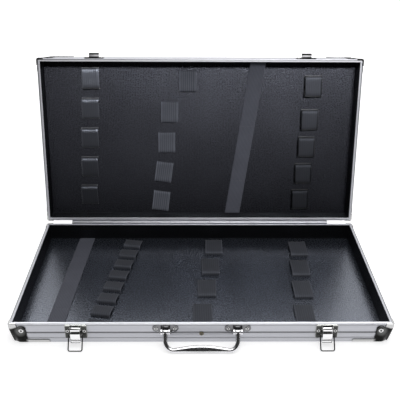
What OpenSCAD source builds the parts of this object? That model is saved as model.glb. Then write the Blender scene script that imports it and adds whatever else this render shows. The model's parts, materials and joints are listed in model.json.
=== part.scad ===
// Slim aluminium tool case: two shallow trays joined by a long hinge.
// The lid stands open on the hinge's stop ledge, as it does on a table.
// Origin: centre of the base's underside. +X to the right, +Y to the hinge, +Z up.

/* [Case] */
// Outside width of the case
case_w = 460; // [440:5:540]
// Outside depth of the case, front to hinge
case_d = 240; // [236:2:300]
// Height of each half, from its outer face to its rim
half_h = 28; // [27:0.5:40]
// Gap between the two rims when the case is shut
rim_gap = 0.3; // [0.2:0.1:0.6]
// How far the lid stands open, in degrees from shut
lid_open = 100.7; // [92:0.1:110]
// Radius of the case's upright corners
corner_r = 9; // [8:0.5:12]

/* [Rails] */
// Width of a rail's top land
land_w = 4.2; // [3.8:0.1:6]
// Thickness of the rail's walls
rail_t = 1.2; // [1:0.1:1.6]
// Radius of the rail's edge below the rim
rim_r = 0.8; // [0.5:0.1:1]
// Radius of the rail's edge at the bottom
heel_r = 2; // [1.2:0.1:2.4]
// Width of the shoulder outside the land
shoulder_w = 1.4; // [1.1:0.1:2]
// Drop from the land to the shoulder
shoulder_drop = 0.5; // [0.3:0.05:0.7]
// Height of the wide groove in the rail's face
wide_groove_z = 16; // [14:0.5:17]
// Height of the narrow groove in the rail's face
fine_groove_z = 8.4; // [7.4:0.2:11]
// Width of the wide groove
wide_groove_w = 1; // [0.6:0.1:1.6]
// Width of the narrow groove
fine_groove_w = 0.6; // [0.4:0.1:1]
// Depth of both grooves
groove_deep = 0.5; // [0.3:0.05:0.6]

/* [Panels and lining] */
// Thickness of the flat panel under each tray
panel_t = 2.4; // [1.6:0.2:3.4]
// Thickness of the boards inside the rails
board_t = 2.2; // [1.8:0.1:2.8]
// Thickness of the lining on the floor
floor_lining_t = 1.1; // [0.8:0.1:2]
// Thickness of the lining on the walls
wall_lining_t = 0.8; // [0.6:0.1:1.2]

/* [Webbing] */
// Width of the elastic webbing
web_w = 25; // [18:1:26]
// Thickness of the elastic webbing
web_t = 1; // [0.8:0.1:1.4]
// Rise of the base's tool loops above the lining
base_rise = 5.8; // [5.6:0.2:8]
// Rise of the lid's outer tool loops above the lining
lid_rise = 7.6; // [7:0.2:9]
// Rise of the loops that lie flat
flat_rise = 3.2; // [2.8:0.2:4.4]
// Length of a short tool loop along the row
short_run = 21; // [18:0.5:22]
// Length of a tool loop in the lid
lid_run = 31; // [26:0.5:33]
// Length of a long tool loop in the base
long_run = 37; // [30:0.5:40]
// Width of the long sewn straps
strap_w = 22.5; // [16:0.5:26]

/* [Columns of loops] */
// Base's left column: its back loop's middle, from the left wall
base_left_in = 126.3; // [110:0.1:140]
// Base's left column: shift to the left from each loop to the next
base_left_step = 4.4; // [0:0.1:6]
// Base's left column: its back loop's middle, from the hinge wall
base_left_back = 18.8; // [14:0.1:24]
// Base's left column: its front loop's middle, from the front wall
base_left_front = 23.8; // [14:0.1:26]
// Base's left column: turn of its loops, in degrees
base_left_turn = 9; // [0:1:12]
// Base's middle column: its back loop's middle, right of the case's middle
base_middle_x = 20.5; // [0:0.5:40]
// Base's middle column: shift to the left from each loop to the next
base_middle_step = 6.2; // [0:0.1:8]
// Base's middle column: its back loop's middle, from the hinge wall
base_middle_back = 27.8; // [21:0.1:34]
// Base's middle column: its front loop's middle, from the front wall
base_middle_front = 47.8; // [21:0.1:52]
// Base's right column: its back loop's middle, from the right wall
base_right_in = 81.3; // [60:0.1:100]
// Base's right column: shift to the left from each loop to the next
base_right_step = 4.2; // [0:0.1:8]
// Base's right column: its back loop's middle, from the hinge wall
base_right_back = 32.8; // [21:0.1:38]
// Base's right column: its front loop's middle, from the front wall
base_right_front = 45.8; // [21:0.1:52]
// Lid's left column: its front loop's middle, from the left wall
lid_left_in = 67.3; // [50:0.1:80]
// Lid's left column: shift to the left from each loop to the next
lid_left_step = 2.3; // [0:0.1:5]
// Lid's left column: its front loop's middle, from the front wall
lid_left_front = 25.8; // [18:0.1:34]
// Lid's left column: its back loop's middle, from the hinge wall
lid_left_back = 29.8; // [18:0.1:34]
// Lid's middle column: its front loop's middle, left of the case's middle
lid_middle_first = 18; // [0:0.5:30]
// Lid's middle column: where its other loops start, left of the case's middle
lid_middle_x = 40; // [30:0.5:50]
// Lid's middle column: shift to the left from each loop to the next
lid_middle_step = 4.8; // [0:0.1:6]
// Lid's middle column: its front loop's middle, from the front wall
lid_middle_front = 29.8; // [18:0.1:34]
// Lid's middle column: its back loop's middle, from the hinge wall
lid_middle_back = 19.8; // [18:0.1:34]
// Lid's middle column: turn of its two back loops, in degrees
lid_middle_turn = 8; // [0:1:12]
// Lid's right column: its front loop's middle, from the right wall
lid_right_in = 61.3; // [50:0.1:80]
// Lid's right column: shift to the left from each loop to the next
lid_right_step = 2.8; // [0:0.1:5]
// Lid's right column: where its even row ends, from the front wall
lid_right_front = 44.8; // [30:0.1:50]
// Lid's right column: its front loop's shift out of the even row, to the front
lid_right_shift = 8; // [0:0.5:12]
// Lid's right column: its back loop's middle, from the hinge wall
lid_right_back = 22.8; // [18:0.1:34]
// Base's long strap: its middle at the hinge wall, from the left wall
base_strap_far = 55.3; // [40:0.1:70]
// Base's long strap: its middle at the front wall, from the left wall
base_strap_near = 42.8; // [30:0.1:60]
// Lid's long strap: its middle at the hinge wall, right of the case's middle
lid_strap_far = 50; // [30:0.5:70]
// Lid's long strap: its middle at the front wall, right of the case's middle
lid_strap_near = 84; // [60:0.5:100]

/* [Corner protectors] */
// Thickness of the protector's sheet
guard_t = 0.9; // [0.7:0.1:1.2]
// Length of a protector's low arm from the case corner
guard_arm = 48; // [30:1:60]
// Height of a protector's low arm
guard_arm_h = 5.2; // [4.2:0.2:7]
// Width of a protector's plate from the case corner
guard_plate_w = 21; // [20.5:0.5:26]
// Distance of a protector's rivet from the case corner
guard_rivet_x = 14.8; // [13:0.1:16]
// Height of a protector's rivet
guard_rivet_z = 18.8; // [17.5:0.1:20]
// Radius of the lobe round a protector's rivet
guard_lobe_r = 6.2; // [5:0.1:7]
// Radius of the protectors' rivet heads
guard_rivet_r = 3; // [2:0.1:3.4]

/* [Rivets] */
// Radius of the small rivet heads
rivet_r = 2.2; // [1.6:0.1:2.6]
// Height of the rivet heads
rivet_h = 0.8; // [0.5:0.1:1]

/* [Latches] */
// Distance of each latch's middle from the case's side
latch_in = 80; // [70:1:110]
// Width of a latch's base plate
latch_w = 26.5; // [25:0.5:34]
// Height of a latch's base plate
latch_h = 19.5; // [18:0.5:22]
// Gap from the rim down to the plates on the front
plate_drop = 0.8; // [0.6:0.1:1.2]
// Thickness of the latch plates, brackets and keepers
plate_t = 1; // [0.8:0.1:1.2]
// Width of a latch lever
lever_w = 11.6; // [10:0.2:12]
// Thickness of the lever's sheet
lever_t = 0.9; // [0.7:0.1:1.1]
// Length of the lever from its pivot to its tip
lever_len = 20; // [17:0.5:21]
// Lever pivot, out from the case's face
lever_out = 4.4; // [4.2:0.1:5]
// Lever pivot, down from the rim
lever_drop = 4.4; // [4:0.1:5]
// Outer radius of the lever's rolled barrel
lever_barrel_r = 2.4; // [2:0.1:2.6]
// Radius of the lever's pivot pin
lever_pin_r = 1; // [0.8:0.1:1.2]
// Radius of the wire bail
wire_r = 0.8; // [0.6:0.05:0.9]
// Width of the wire bail between its legs' middles
bail_w = 17; // [16.4:0.2:19]
// Length of the wire bail from its pivot to its cross bar
bail_len = 19; // [18:0.2:21]
// Bail pivot, down from the lever's pivot
bail_drop = 8.2; // [7.6:0.2:9]
// Width of the keeper's flange
keeper_w = 28; // [24:0.5:34]
// Width of the keeper's hook
hook_w = 14; // [11:0.2:14.4]
// How far the keeper's hook stands out from the lid
hook_out = 7.2; // [6.8:0.2:8]

/* [Handle] */
// Distance between the handle's two pivots
handle_span = 86.4; // [80:0.2:110]
// Handle pivot, out from the case's face
handle_out = 5.2; // [5:0.1:7]
// Handle pivot, down from the rim
handle_drop = 8; // [7:0.1:9]
// Distance from the pivots to the grip's outer edge
handle_reach = 24.4; // [23:0.2:34]
// Width of the handle's legs
leg_w = 5.6; // [4.4:0.2:6]
// Thickness of the handle, front to back
handle_t = 5.6; // [4.6:0.2:6]
// Width of the grip at its middle
grip_w = 9.2; // [7:0.2:10]
// Radius of the bends between the legs and the grip, on the outside
bend_r = 13; // [9:0.5:15]
// Radius of the handle's pivot pins
handle_pin_r = 1.2; // [0.9:0.1:1.4]
// Width of a handle bracket
bracket_w = 31.6; // [29:0.2:36]
// Height of a handle bracket
bracket_h = 13.4; // [12.4:0.2:15]
// Thickness of a bracket's lugs
lug_t = 2; // [1.4:0.1:2.4]

/* [Hinge] */
// Gap between each end of the hinge and the plates of the protectors
hinge_end_gap = 16; // [6:0.5:40]
// Number of knuckles along the hinge
knuckles = 13; // [7:2:19]
// Outer radius of the hinge's knuckles
knuckle_r = 2.3; // [2:0.05:2.4]
// Radius of the hinge pin
hinge_pin_r = 1.2; // [0.9:0.1:1.3]
// Thickness of the hinge's leaves
leaf_t = 0.9; // [0.7:0.1:1]
// Height of the hinge's leaves
leaf_h = 13; // [12:0.5:16]
// Hinge axis, out from the case's back face
hinge_out = 2.8; // [2.75:0.05:3]
// How far the stop ledge reaches along the open lid
stop_reach = 4; // [3:0.5:5]

/* [Fits] */
// Radial clearance of a pin in the part that turns on it
pin_gap = 0.05; // [0.03:0.01:0.08]
// Gap beside parts that turn next to each other
side_gap = 0.35; // [0.3:0.05:0.45]
// Gap between a part and the stop that it rests on
stop_gap = 0.3; // [0.25:0.05:0.4]

/* [Hidden] */
$fn = 48;
// How far a cutting or clipping shape runs past the solid that it works on
over = 2;
// Gap under a part that swings down to the table, so that it just clears it
table_gap = 0.1;

// Colours
silver = "silver";
bright = "gainsboro";
charcoal = [0.16, 0.16, 0.17];
webbing_grey = [0.24, 0.24, 0.25];

// Places in the frame of a half: outer face at z = 0, rim at half_h
front_y = -case_d / 2;
back_y = case_d / 2;
floor_z = panel_t + floor_lining_t;
board_top = half_h - rail_t;
lining_in = rail_t + board_t;
tray_in = lining_in + wall_lining_t;
hinge_y = back_y + hinge_out;
hinge_z = half_h + rim_gap / 2;

// Walls of the tray, from the case's middle
wall_x = case_w / 2 - tray_in;
wall_y = case_d / 2 - tray_in;

// Loop i of n in a row that starts and ends at given gaps from the two walls
function in_row(i, n, first_gap, last_gap) =
  wall_y - first_gap - i * (2 * wall_y - first_gap - last_gap) / (n - 1);

// Tool loops: [x, y, turn, run, rise] for each
// The base's rows start at the hinge wall, the lid's at the front wall
base_left_loops = [for (i = [0:7])
  [-wall_x + base_left_in - base_left_step * i, in_row(i, 8, base_left_back, base_left_front),
   -base_left_turn, short_run, i < 7 ? base_rise : flat_rise]];
base_middle_loops = [for (i = [0:3])
  [base_middle_x - base_middle_step * i, in_row(i, 4, base_middle_back, base_middle_front),
   0, long_run, i < 3 ? base_rise : flat_rise]];
base_right_loops = [for (i = [0:3])
  [wall_x - base_right_in - base_right_step * i, in_row(i, 4, base_right_back, base_right_front),
   0, long_run, i < 3 ? base_rise : flat_rise]];
lid_left_loops = [for (i = [0:4])
  [-wall_x + lid_left_in - lid_left_step * i, -in_row(i, 5, lid_left_front, lid_left_back),
   0, lid_run, lid_rise]];
lid_middle_loops = [for (i = [0:4])
  [i == 0 ? -lid_middle_first : -lid_middle_x - lid_middle_step * i,
   -in_row(i, 5, lid_middle_front, lid_middle_back),
   i < 3 ? 0 : lid_middle_turn, lid_run, flat_rise]];
lid_right_loops = [for (i = [0:4])
  [wall_x - lid_right_in - lid_right_step * i,
   -in_row(i, 5, lid_right_front, lid_right_back) - (i == 0 ? lid_right_shift : 0),
   0, lid_run, lid_rise]];
loop_r = 3.5;
least_loop_side = 0.4;

// Gap between a long strap's ends and the walls
strap_end_gap = 0.6;
// Metal left outside a rivet's head
rivet_edge = 1;

// Latch places
latch_x = case_w / 2 - latch_in;
lever_y = front_y - lever_out;
lever_z = half_h - lever_drop;
bail_y = lever_y;
bail_z = lever_z - bail_drop;
bail_tilt = acos((bail_z - wire_r - table_gap) / bail_len);
latch_plate_low = half_h - plate_drop - latch_h;
latch_rivet_x = latch_w / 2 - rivet_r - rivet_edge;
latch_rivet_z = latch_plate_low + 0.56 * latch_h;
ear_rim = 1.1;
ear_in = lever_w / 2 + side_gap;
ear_t = bail_w / 2 - wire_r - side_gap - ear_in;
ear_r = lever_pin_r + ear_rim;
lever_curl = 0.8 * lever_t;
// Metal of the lever's cheeks behind and below the bail's bore
cheek_back_rim = 0.9;
cheek_low_rim = 0.7;
bail_turn_r = 2.4;
// Bail ends: how far they pass through the lever's cheeks
bail_tail = 0.4;
// When it is hooked, the bail's cross bar lies just under the keeper's shelf
hook_gap = 0.15;
shelf_z = bail_z + bail_len - half_h - rim_gap - wire_r - hook_gap;
shelf_t = 0.9;
hook_lip_h = 2.4;
keeper_h = 11;

// Handle places
handle_y = front_y - handle_out;
handle_z = half_h - handle_drop;
handle_r = handle_t / 2;
handle_tilt = asin((handle_z - handle_r - table_gap) / (handle_reach - handle_r));
// Grip: its straight share starts just inside the bends, and it is flatter than the legs
grip_inset = 1;
grip_half = handle_span / 2 - bend_r - grip_inset;
grip_thinner = 1.6;
grip_t = handle_t - grip_thinner;
barrel_wider = 0.5;
barrel_half = leg_w / 2 + barrel_wider;
lug_rim = 1.9;
lug_r = handle_pin_r + lug_rim;
bracket_low = half_h - plate_drop - bracket_h;
lobe_r = 4.6;
lobe_drop = 0.6;
lobe_x = bracket_w / 2 - lobe_r;
lobe_z = half_h - plate_drop - lobe_r - lobe_drop;
waist_edge = 2;
waist_w = 2 * (barrel_half + side_gap + lug_t + waist_edge);

// Eyelet in the middle of the front rail, just under the wide groove's middle
eyelet_r = 2.7;
eyelet_h = 0.6;
eyelet_drop = 2.6;

// Hinge places
hinge_len = case_w - 2 * (guard_plate_w + hinge_end_gap);
pitch = hinge_len / knuckles;
leaf_near = sqrt(pow(knuckle_r + stop_gap, 2) - pow(hinge_out - leaf_t, 2));
leaf_top = hinge_z - leaf_near;
ledge_clear = 2.7;
ledge_from = knuckle_r + ledge_clear;
ledge_web_gap = 0.9;
ledge_end_gap = 0.1;
leaf_root = 2;
knuckle_bite = 1;
leaf_rivet_inset = 12;
leaf_rivet_z = hinge_z - (ledge_from + stop_reach + leaf_near + leaf_h) / 2;
leaf_rivet_count = 9;

// Turns a shape that is drawn as a second half, rim up, into the open lid
module open_lid() {
  translate([0, hinge_y, hinge_z])
    rotate([-lid_open, 0, 0])
      translate([0, -hinge_y, 2 * half_h + rim_gap - hinge_z])
        mirror([0, 0, 1])
          children();
}

// Extrudes a section along X: its x becomes Y and its y becomes Z
module along_x(length) {
  translate([-length / 2, 0, 0])
    rotate([90, 0, 90])
      linear_extrude(length)
        children();
}

// Extrudes an outline in x and z towards -Y, off the front face
module off_front(thickness) {
  translate([0, front_y, 0])
    rotate([90, 0, 0])
      linear_extrude(thickness)
        children();
}

// Points on an arc
function arc(x, y, r, from, to, steps = 8) =
  [for (i = [0:steps]) [x + r * cos(from + (to - from) * i / steps),
                        y + r * sin(from + (to - from) * i / steps)]];

// Cross section of a rail: x runs inwards from the outer face, y is the height
module rail_section() {
  shoulder_z = half_h - shoulder_drop;
  // The narrow groove is cut less deep than the wide one
  fine_deep = groove_deep * 0.7;
  polygon(concat(
    arc(heel_r, heel_r, heel_r, 180, 270),
    [[lining_in, 0], [lining_in, floor_z], [rail_t, floor_z], [rail_t, board_top],
     [land_w, board_top], [land_w, half_h], [shoulder_w, half_h], [shoulder_w, shoulder_z]],
    arc(rim_r, shoulder_z - rim_r, rim_r, 90, 180),
    [[0, wide_groove_z + wide_groove_w / 2], [groove_deep, wide_groove_z + wide_groove_w / 2],
     [groove_deep, wide_groove_z - wide_groove_w / 2], [0, wide_groove_z - wide_groove_w / 2],
     [0, fine_groove_z + fine_groove_w / 2], [fine_deep, fine_groove_z + fine_groove_w / 2],
     [fine_deep, fine_groove_z - fine_groove_w / 2], [0, fine_groove_z - fine_groove_w / 2]]
  ));
}

// The case's outline from above
module case_outline() {
  square([case_w - 2 * corner_r, case_d], center = true);
  square([case_w, case_d - 2 * corner_r], center = true);
  for (x = [-1, 1], y = [-1, 1])
    translate([x * (case_w / 2 - corner_r), y * (case_d / 2 - corner_r)])
      circle(corner_r);
}

// A mitred rail whose outer face lies on the XZ plane, before its corners are rounded
module mitred_bar(length) {
  intersection() {
    along_x(length) rail_section();
    linear_extrude(half_h)
      polygon([[-length / 2, 0], [length / 2, 0],
               [length / 2 - land_w - over, land_w + over],
               [-length / 2 + land_w + over, land_w + over]]);
  }
}

// One rail of a half, with seats for the corner protectors cut in it
module finished_rail() {
  color(silver)
    difference() {
      intersection() {
        children();
        linear_extrude(half_h) case_outline();
      }
      at_corners() guard_seat();
    }
}

module front_rail() {
  finished_rail() translate([0, front_y, 0]) mitred_bar(case_w);
}

module back_rail() {
  mirror([0, 1, 0]) front_rail();
}

module left_rail() {
  finished_rail() translate([-case_w / 2, 0, 0]) rotate([0, 0, -90]) mitred_bar(case_d);
}

module right_rail() {
  mirror([1, 0, 0]) left_rail();
}

// The flat sheet under a tray, with the protectors' feet let into its corners
module panel() {
  color(silver)
    difference() {
      translate([-case_w / 2 + lining_in, front_y + lining_in, 0])
        cube([case_w - 2 * lining_in, case_d - 2 * lining_in, panel_t]);
      at_corners() guard_seat();
    }
}

// Boards between the rails' walls and the lining, clear of the rounded corners
module side_boards() {
  color("burlywood") {
    for (turn = [0, 180])
      rotate([0, 0, turn])
        translate([-case_w / 2 + corner_r, front_y + rail_t, floor_z])
          cube([case_w - 2 * corner_r, board_t, board_top - floor_z]);
    for (turn = [0, 180])
      rotate([0, 0, turn])
        translate([-case_w / 2 + rail_t, front_y + corner_r, floor_z])
          cube([board_t, case_d - 2 * corner_r, board_top - floor_z]);
  }
}

module wall_lining() {
  color(charcoal)
    translate([0, 0, floor_z])
      linear_extrude(board_top - floor_z)
        difference() {
          square([case_w - 2 * lining_in, case_d - 2 * lining_in], center = true);
          square([2 * wall_x, 2 * wall_y], center = true);
        }
}

module floor_lining() {
  color(charcoal)
    translate([-case_w / 2 + lining_in, front_y + lining_in, panel_t])
      cube([case_w - 2 * lining_in, case_d - 2 * lining_in, floor_lining_t]);
}

// Section of a flattened arch, with round shoulders
module arch_section(run, rise, r) {
  translate([-run / 2, -over]) square([run, rise - r + over]);
  translate([-run / 2 + r, -over]) square([run - 2 * r, rise + over]);
  for (x = [-1, 1])
    translate([x * (run / 2 - r), rise - r]) circle(r);
}

// A loop of webbing that a tool's handle slides through along X
module web_loop(run, rise) {
  r = min(loop_r, rise - least_loop_side);
  along_x(web_w)
    intersection() {
      difference() {
        arch_section(run, rise, r);
        arch_section(run - 2 * web_t, rise - web_t, r - web_t);
      }
      translate([-run / 2, 0]) square([run, rise]);
    }
}

module web_loops(places) {
  color(webbing_grey)
    for (p = places)
      translate([p[0], p[1], floor_z])
        rotate([0, 0, p[2]])
          web_loop(p[3], p[4]);
}

// A long strap sewn flat to the lining, from wall to wall
module long_strap(x_far, x_near) {
  reach = wall_y - strap_end_gap;
  color(webbing_grey)
    translate([0, 0, floor_z])
      linear_extrude(web_t)
        polygon([[x_near - strap_w / 2, -reach], [x_near + strap_w / 2, -reach],
                 [x_far + strap_w / 2, reach], [x_far - strap_w / 2, reach]]);
}

// Places a shape, drawn at a corner whose edges run along +X and +Y, at corner [sx, sy]
module at_corner(sx, sy) {
  mirror([sx > 0 ? 1 : 0, 0, 0])
    mirror([0, sy > 0 ? 1 : 0, 0])
      translate([-case_w / 2, front_y, 0])
        children();
}

module at_corners() {
  for (sx = [-1, 1], sy = [-1, 1])
    at_corner(sx, sy) children();
}

// Sweeps a section, with x inwards from the face, round a corner and along both of its arms
module sweep_corner(arm) {
  translate([corner_r, 0, 0])
    rotate([90, 0, 90]) linear_extrude(arm - corner_r) children();
  mirror([1, -1, 0])
    translate([corner_r, 0, 0])
      rotate([90, 0, 90]) linear_extrude(arm - corner_r) children();
  translate([corner_r, corner_r, 0])
    rotate([0, 0, 180])
      rotate_extrude(angle = 90)
        translate([corner_r, 0]) mirror([1, 0]) children();
}

// Section of a protector's sheet: over the shoulder, down the face and under the heel
module guard_section() {
  bend = heel_r + guard_t;
  difference() {
    union() {
      translate([-guard_t, bend]) square([guard_t, half_h - bend - guard_t]);
      translate([0, half_h - guard_t]) square([shoulder_w, guard_t]);
      intersection() {
        translate([0, half_h - guard_t]) circle(guard_t);
        translate([-guard_t, half_h - guard_t]) square(guard_t);
      }
      intersection() {
        translate([heel_r, bend]) circle(bend);
        translate([-guard_t, 0]) square(bend);
      }
      translate([heel_r, 0]) square([lining_in - heel_r, guard_t]);
    }
    translate([heel_r, bend]) circle(heel_r);
  }
}

// Section of what the protector takes out of a rail
module guard_seat_section() {
  bend = heel_r + guard_t;
  translate([-over, half_h - guard_t]) square([shoulder_w + over, guard_t + over]);
  difference() {
    translate([-over, -over]) square([lining_in + over, bend + over]);
    translate([heel_r, bend]) circle(heel_r);
    translate([heel_r, guard_t]) square([lining_in, bend]);
  }
}

// The seats of one corner: under both arms, and at the rim round the corner alone
module guard_seat() {
  intersection() {
    sweep_corner(guard_arm) guard_seat_section();
    union() {
      translate([-over, -over, -over]) cube([guard_arm + over, guard_arm + over, half_h / 2]);
      translate([-over, -over, half_h / 2]) cube([corner_r + over, corner_r + over, half_h]);
    }
  }
}

// Outline of a protector from the side: full height at the corner, a lobe and a low arm
module guard_outline() {
  translate([-over, 0]) square([corner_r + over, half_h]);
  square([guard_plate_w, guard_rivet_z]);
  translate([guard_rivet_x, guard_rivet_z]) circle(guard_lobe_r);
  square([guard_arm - guard_arm_h / 2, guard_arm_h]);
  translate([guard_arm - guard_arm_h / 2, guard_arm_h / 2]) circle(guard_arm_h / 2);
}

// A stamped protector that wraps one corner of a half
module corner_guard(sx, sy) {
  color(bright)
    at_corner(sx, sy)
      intersection() {
        sweep_corner(guard_arm) guard_section();
        translate([0, guard_arm + over, 0])
          rotate([90, 0, 0]) linear_extrude(guard_arm + 2 * over) guard_outline();
        mirror([1, -1, 0])
          translate([0, guard_arm + over, 0])
            rotate([90, 0, 0]) linear_extrude(guard_arm + 2 * over) guard_outline();
      }
}

// A tubular rivet's head, standing up from z = 0, with its hollow middle
module rivet(r, h = rivet_h) {
  rotate_extrude()
    polygon(concat([[0, 0], [r, 0], [r, h * 0.3]],
                   arc(r - h * 0.7, h * 0.3, h * 0.7, 0, 90, 5),
                   [[r * 0.34, h], [r * 0.3, h * 0.4], [0, h * 0.4]]));
}

// Rivets on the front face: [x, z] of each, on a plate of a given thickness
module front_rivets(places, on, r = rivet_r) {
  color(bright)
    for (p = places)
      translate([p[0], front_y - on, p[1]])
        rotate([90, 0, 0])
          rivet(r);
}

module corner_rivets() {
  color(bright)
    at_corners() {
      translate([guard_rivet_x, -guard_t, guard_rivet_z])
        rotate([90, 0, 0]) rivet(guard_rivet_r);
      translate([-guard_t, guard_rivet_x, guard_rivet_z])
        rotate([0, -90, 0]) rivet(guard_rivet_r);
    }
}

// Base plate of a latch, with ears for the lever's pin and a turned-in top edge
module latch_plate(x) {
  color(bright)
    difference() {
      union() {
        translate([x - latch_w / 2, front_y - plate_t, latch_plate_low])
          cube([latch_w, plate_t, latch_h]);
        for (side = [-1, 1])
          translate([x + side * (ear_in + ear_t / 2), 0, 0])
            along_x(ear_t) {
              translate([lever_y, lever_z]) circle(ear_r);
              translate([lever_y, lever_z - ear_r])
                square([front_y - plate_t / 2 - lever_y, 2 * ear_r]);
            }
      }
      lever_bore(x, lever_pin_r);
    }
}

// Space for the lever's pin, grown by a gap
module lever_bore(x, r) {
  translate([x - latch_w, lever_y, lever_z])
    rotate([0, 90, 0])
      cylinder(r = r, h = 2 * latch_w);
}

module lever_pins() {
  color(bright)
    for (side = [-1, 1])
      translate([side * latch_x - ear_in - ear_t, lever_y, lever_z])
        rotate([0, 90, 0])
          cylinder(r = lever_pin_r, h = 2 * (ear_in + ear_t));
}

// Section of the lever's face: it leaves the barrel, steps out over the bail and ends in a curl
lever_step = 4.6;
lever_tip = 5;
lever_bow = [0.6, 0.9, 2.4];
function lever_line() = [
  [lever_y - lever_barrel_r + lever_t, lever_z],
  [lever_y - lever_barrel_r - lever_bow[0], lever_z - lever_step],
  [lever_y - lever_barrel_r - lever_bow[1], lever_z - lever_len + lever_tip],
  [lever_y - lever_barrel_r - lever_bow[2], lever_z - lever_len + lever_curl]
];

// The lever hangs shut on the plate; its cheeks carry the bail
module latch_lever(x) {
  line = lever_line();
  cheek_back = wire_r + cheek_back_rim;
  cheek_low = wire_r + cheek_low_rim;
  color(bright)
    difference() {
      union() {
        translate([x, 0, 0])
          along_x(lever_w) {
            translate([lever_y, lever_z]) circle(lever_barrel_r);
            polygon(concat(line, [for (i = [3:-1:0]) line[i] + [-lever_t, 0]]));
            translate([line[3][0] - lever_t / 2, line[3][1]]) circle(lever_curl);
          }
        for (side = [-1, 1])
          translate([x + side * (lever_w / 2 - lever_t / 2), 0, 0])
            along_x(lever_t)
              polygon([[lever_y, lever_z], [bail_y + cheek_back, lever_z - lever_step],
                       [bail_y + cheek_back, bail_z - cheek_low], line[2], line[1], line[0]]);
      }
      lever_bore(x, lever_pin_r + pin_gap);
      translate([x - lever_w, bail_y, bail_z])
        rotate([0, 90, 0])
          cylinder(r = wire_r + pin_gap, h = 2 * lever_w);
    }
}

// The wire bail, drawn hanging straight down from its pivot at the origin
module bail_wire() {
  leg = bail_len - bail_turn_r;
  half = bail_w / 2;
  tail = half - lever_w / 2 + lever_t + bail_tail;
  for (side = [-1, 1])
    mirror([side > 0 ? 0 : 1, 0, 0]) {
      translate([half - tail, 0, 0])
        rotate([0, 90, 0]) cylinder(r = wire_r, h = tail);
      translate([half, 0, 0]) sphere(wire_r);
      translate([half, 0, -leg]) cylinder(r = wire_r, h = leg);
      translate([half - bail_turn_r, 0, -leg])
        rotate([90, 0, 0])
          rotate([0, 0, -90])
            rotate_extrude(angle = 90)
              translate([bail_turn_r, 0]) circle(wire_r, $fn = 24);
    }
  translate([-half + bail_turn_r, 0, -bail_len])
    rotate([0, 90, 0])
      cylinder(r = wire_r, h = bail_w - 2 * bail_turn_r);
}

module latch_bail(x) {
  color(bright)
    translate([x, bail_y, bail_z])
      rotate([-bail_tilt, 0, 0])
        bail_wire();
}

// Bracket of the handle: a plate with two round lobes and two lugs round the pivot
module handle_bracket(x) {
  color(bright)
    difference() {
      union() {
        translate([x, 0, 0])
          off_front(plate_t) {
            translate([-waist_w / 2, bracket_low]) square([waist_w, bracket_h]);
            translate([-lobe_x, lobe_z - lobe_r * 0.7])
              square([2 * lobe_x, half_h - plate_drop - lobe_z + lobe_r * 0.7]);
            for (side = [-1, 1])
              translate([side * lobe_x, lobe_z]) circle(lobe_r);
          }
        for (side = [-1, 1])
          translate([x + side * (barrel_half + side_gap + lug_t / 2), 0, 0])
            along_x(lug_t) {
              translate([handle_y, handle_z]) circle(lug_r);
              translate([handle_y, handle_z - lug_r])
                square([front_y - plate_t / 2 - handle_y, 2 * lug_r]);
            }
      }
      translate([x - bracket_w, handle_y, handle_z])
        rotate([0, 90, 0])
          cylinder(r = handle_pin_r, h = 2 * bracket_w);
    }
}

module handle_pins() {
  reach = barrel_half + side_gap + lug_t;
  color(bright)
    for (side = [-1, 1])
      translate([side * handle_span / 2 - reach, handle_y, handle_z])
        rotate([0, 90, 0])
          cylinder(r = handle_pin_r, h = 2 * reach);
}

// Inner edge of the grip, measured from its bar's axis, at a share u of its length
function grip_edge(u) = handle_r + (grip_w - handle_t) * pow(sin(180 * u), 1.4);

// The handle in its own plane: legs along -Y from the pivots, and the grip across them
module handle_bar() {
  half = handle_span / 2;
  turn_r = bend_r - handle_r;
  bar_y = handle_r - handle_reach;
  for (side = [0, 1])
    mirror([side, 0, 0]) {
      translate([half - barrel_half, 0, 0])
        rotate([0, 90, 0]) cylinder(r = handle_r, h = 2 * barrel_half);
      translate([half, bar_y + turn_r, 0])
        rotate([-90, 0, 0]) cylinder(r = leg_w / 2, h = -bar_y - turn_r);
      translate([half - turn_r, bar_y + turn_r, 0])
        rotate([0, 0, -90])
          rotate_extrude(angle = 90)
            translate([turn_r, 0]) circle(leg_w / 2, $fn = 32);
    }
  translate([-half + turn_r, bar_y, 0])
    rotate([0, 90, 0]) cylinder(r = leg_w / 2, h = 2 * (half - turn_r));
  translate([0, bar_y, -grip_t / 2])
    linear_extrude(grip_t)
      polygon(concat([[-grip_half, 0]],
                     [for (i = [0:12]) [grip_half * (i / 6 - 1), grip_edge(i / 12)]],
                     [[grip_half, 0]]));
}

// The handle lies forward on the table; its barrels turn on the brackets' pins
module carry_handle() {
  color(bright)
    translate([0, handle_y, handle_z])
      rotate([handle_tilt, 0, 0])
        difference() {
          handle_bar();
          translate([-handle_span, 0, 0])
            rotate([0, 90, 0])
              cylinder(r = handle_pin_r + pin_gap, h = 2 * handle_span);
        }
}

// A small eyelet in the middle of the front rail
module front_eyelet() {
  color("goldenrod")
    translate([0, front_y, wide_groove_z - eyelet_drop])
      rotate([90, 0, 0])
        rivet(eyelet_r, eyelet_h);
}

// Knuckle number i of the hinge, with the strip that joins it to its leaf, both solid
module knuckle(i) {
  translate([-hinge_len / 2 + i * pitch + side_gap / 2, 0, 0]) {
    translate([0, hinge_y, hinge_z])
      rotate([0, 90, 0]) cylinder(r = knuckle_r, h = pitch - side_gap);
    translate([0, back_y, leaf_top - leaf_root])
      cube([pitch - side_gap, hinge_out - knuckle_bite, leaf_root + leaf_t / 2]);
  }
}

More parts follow.
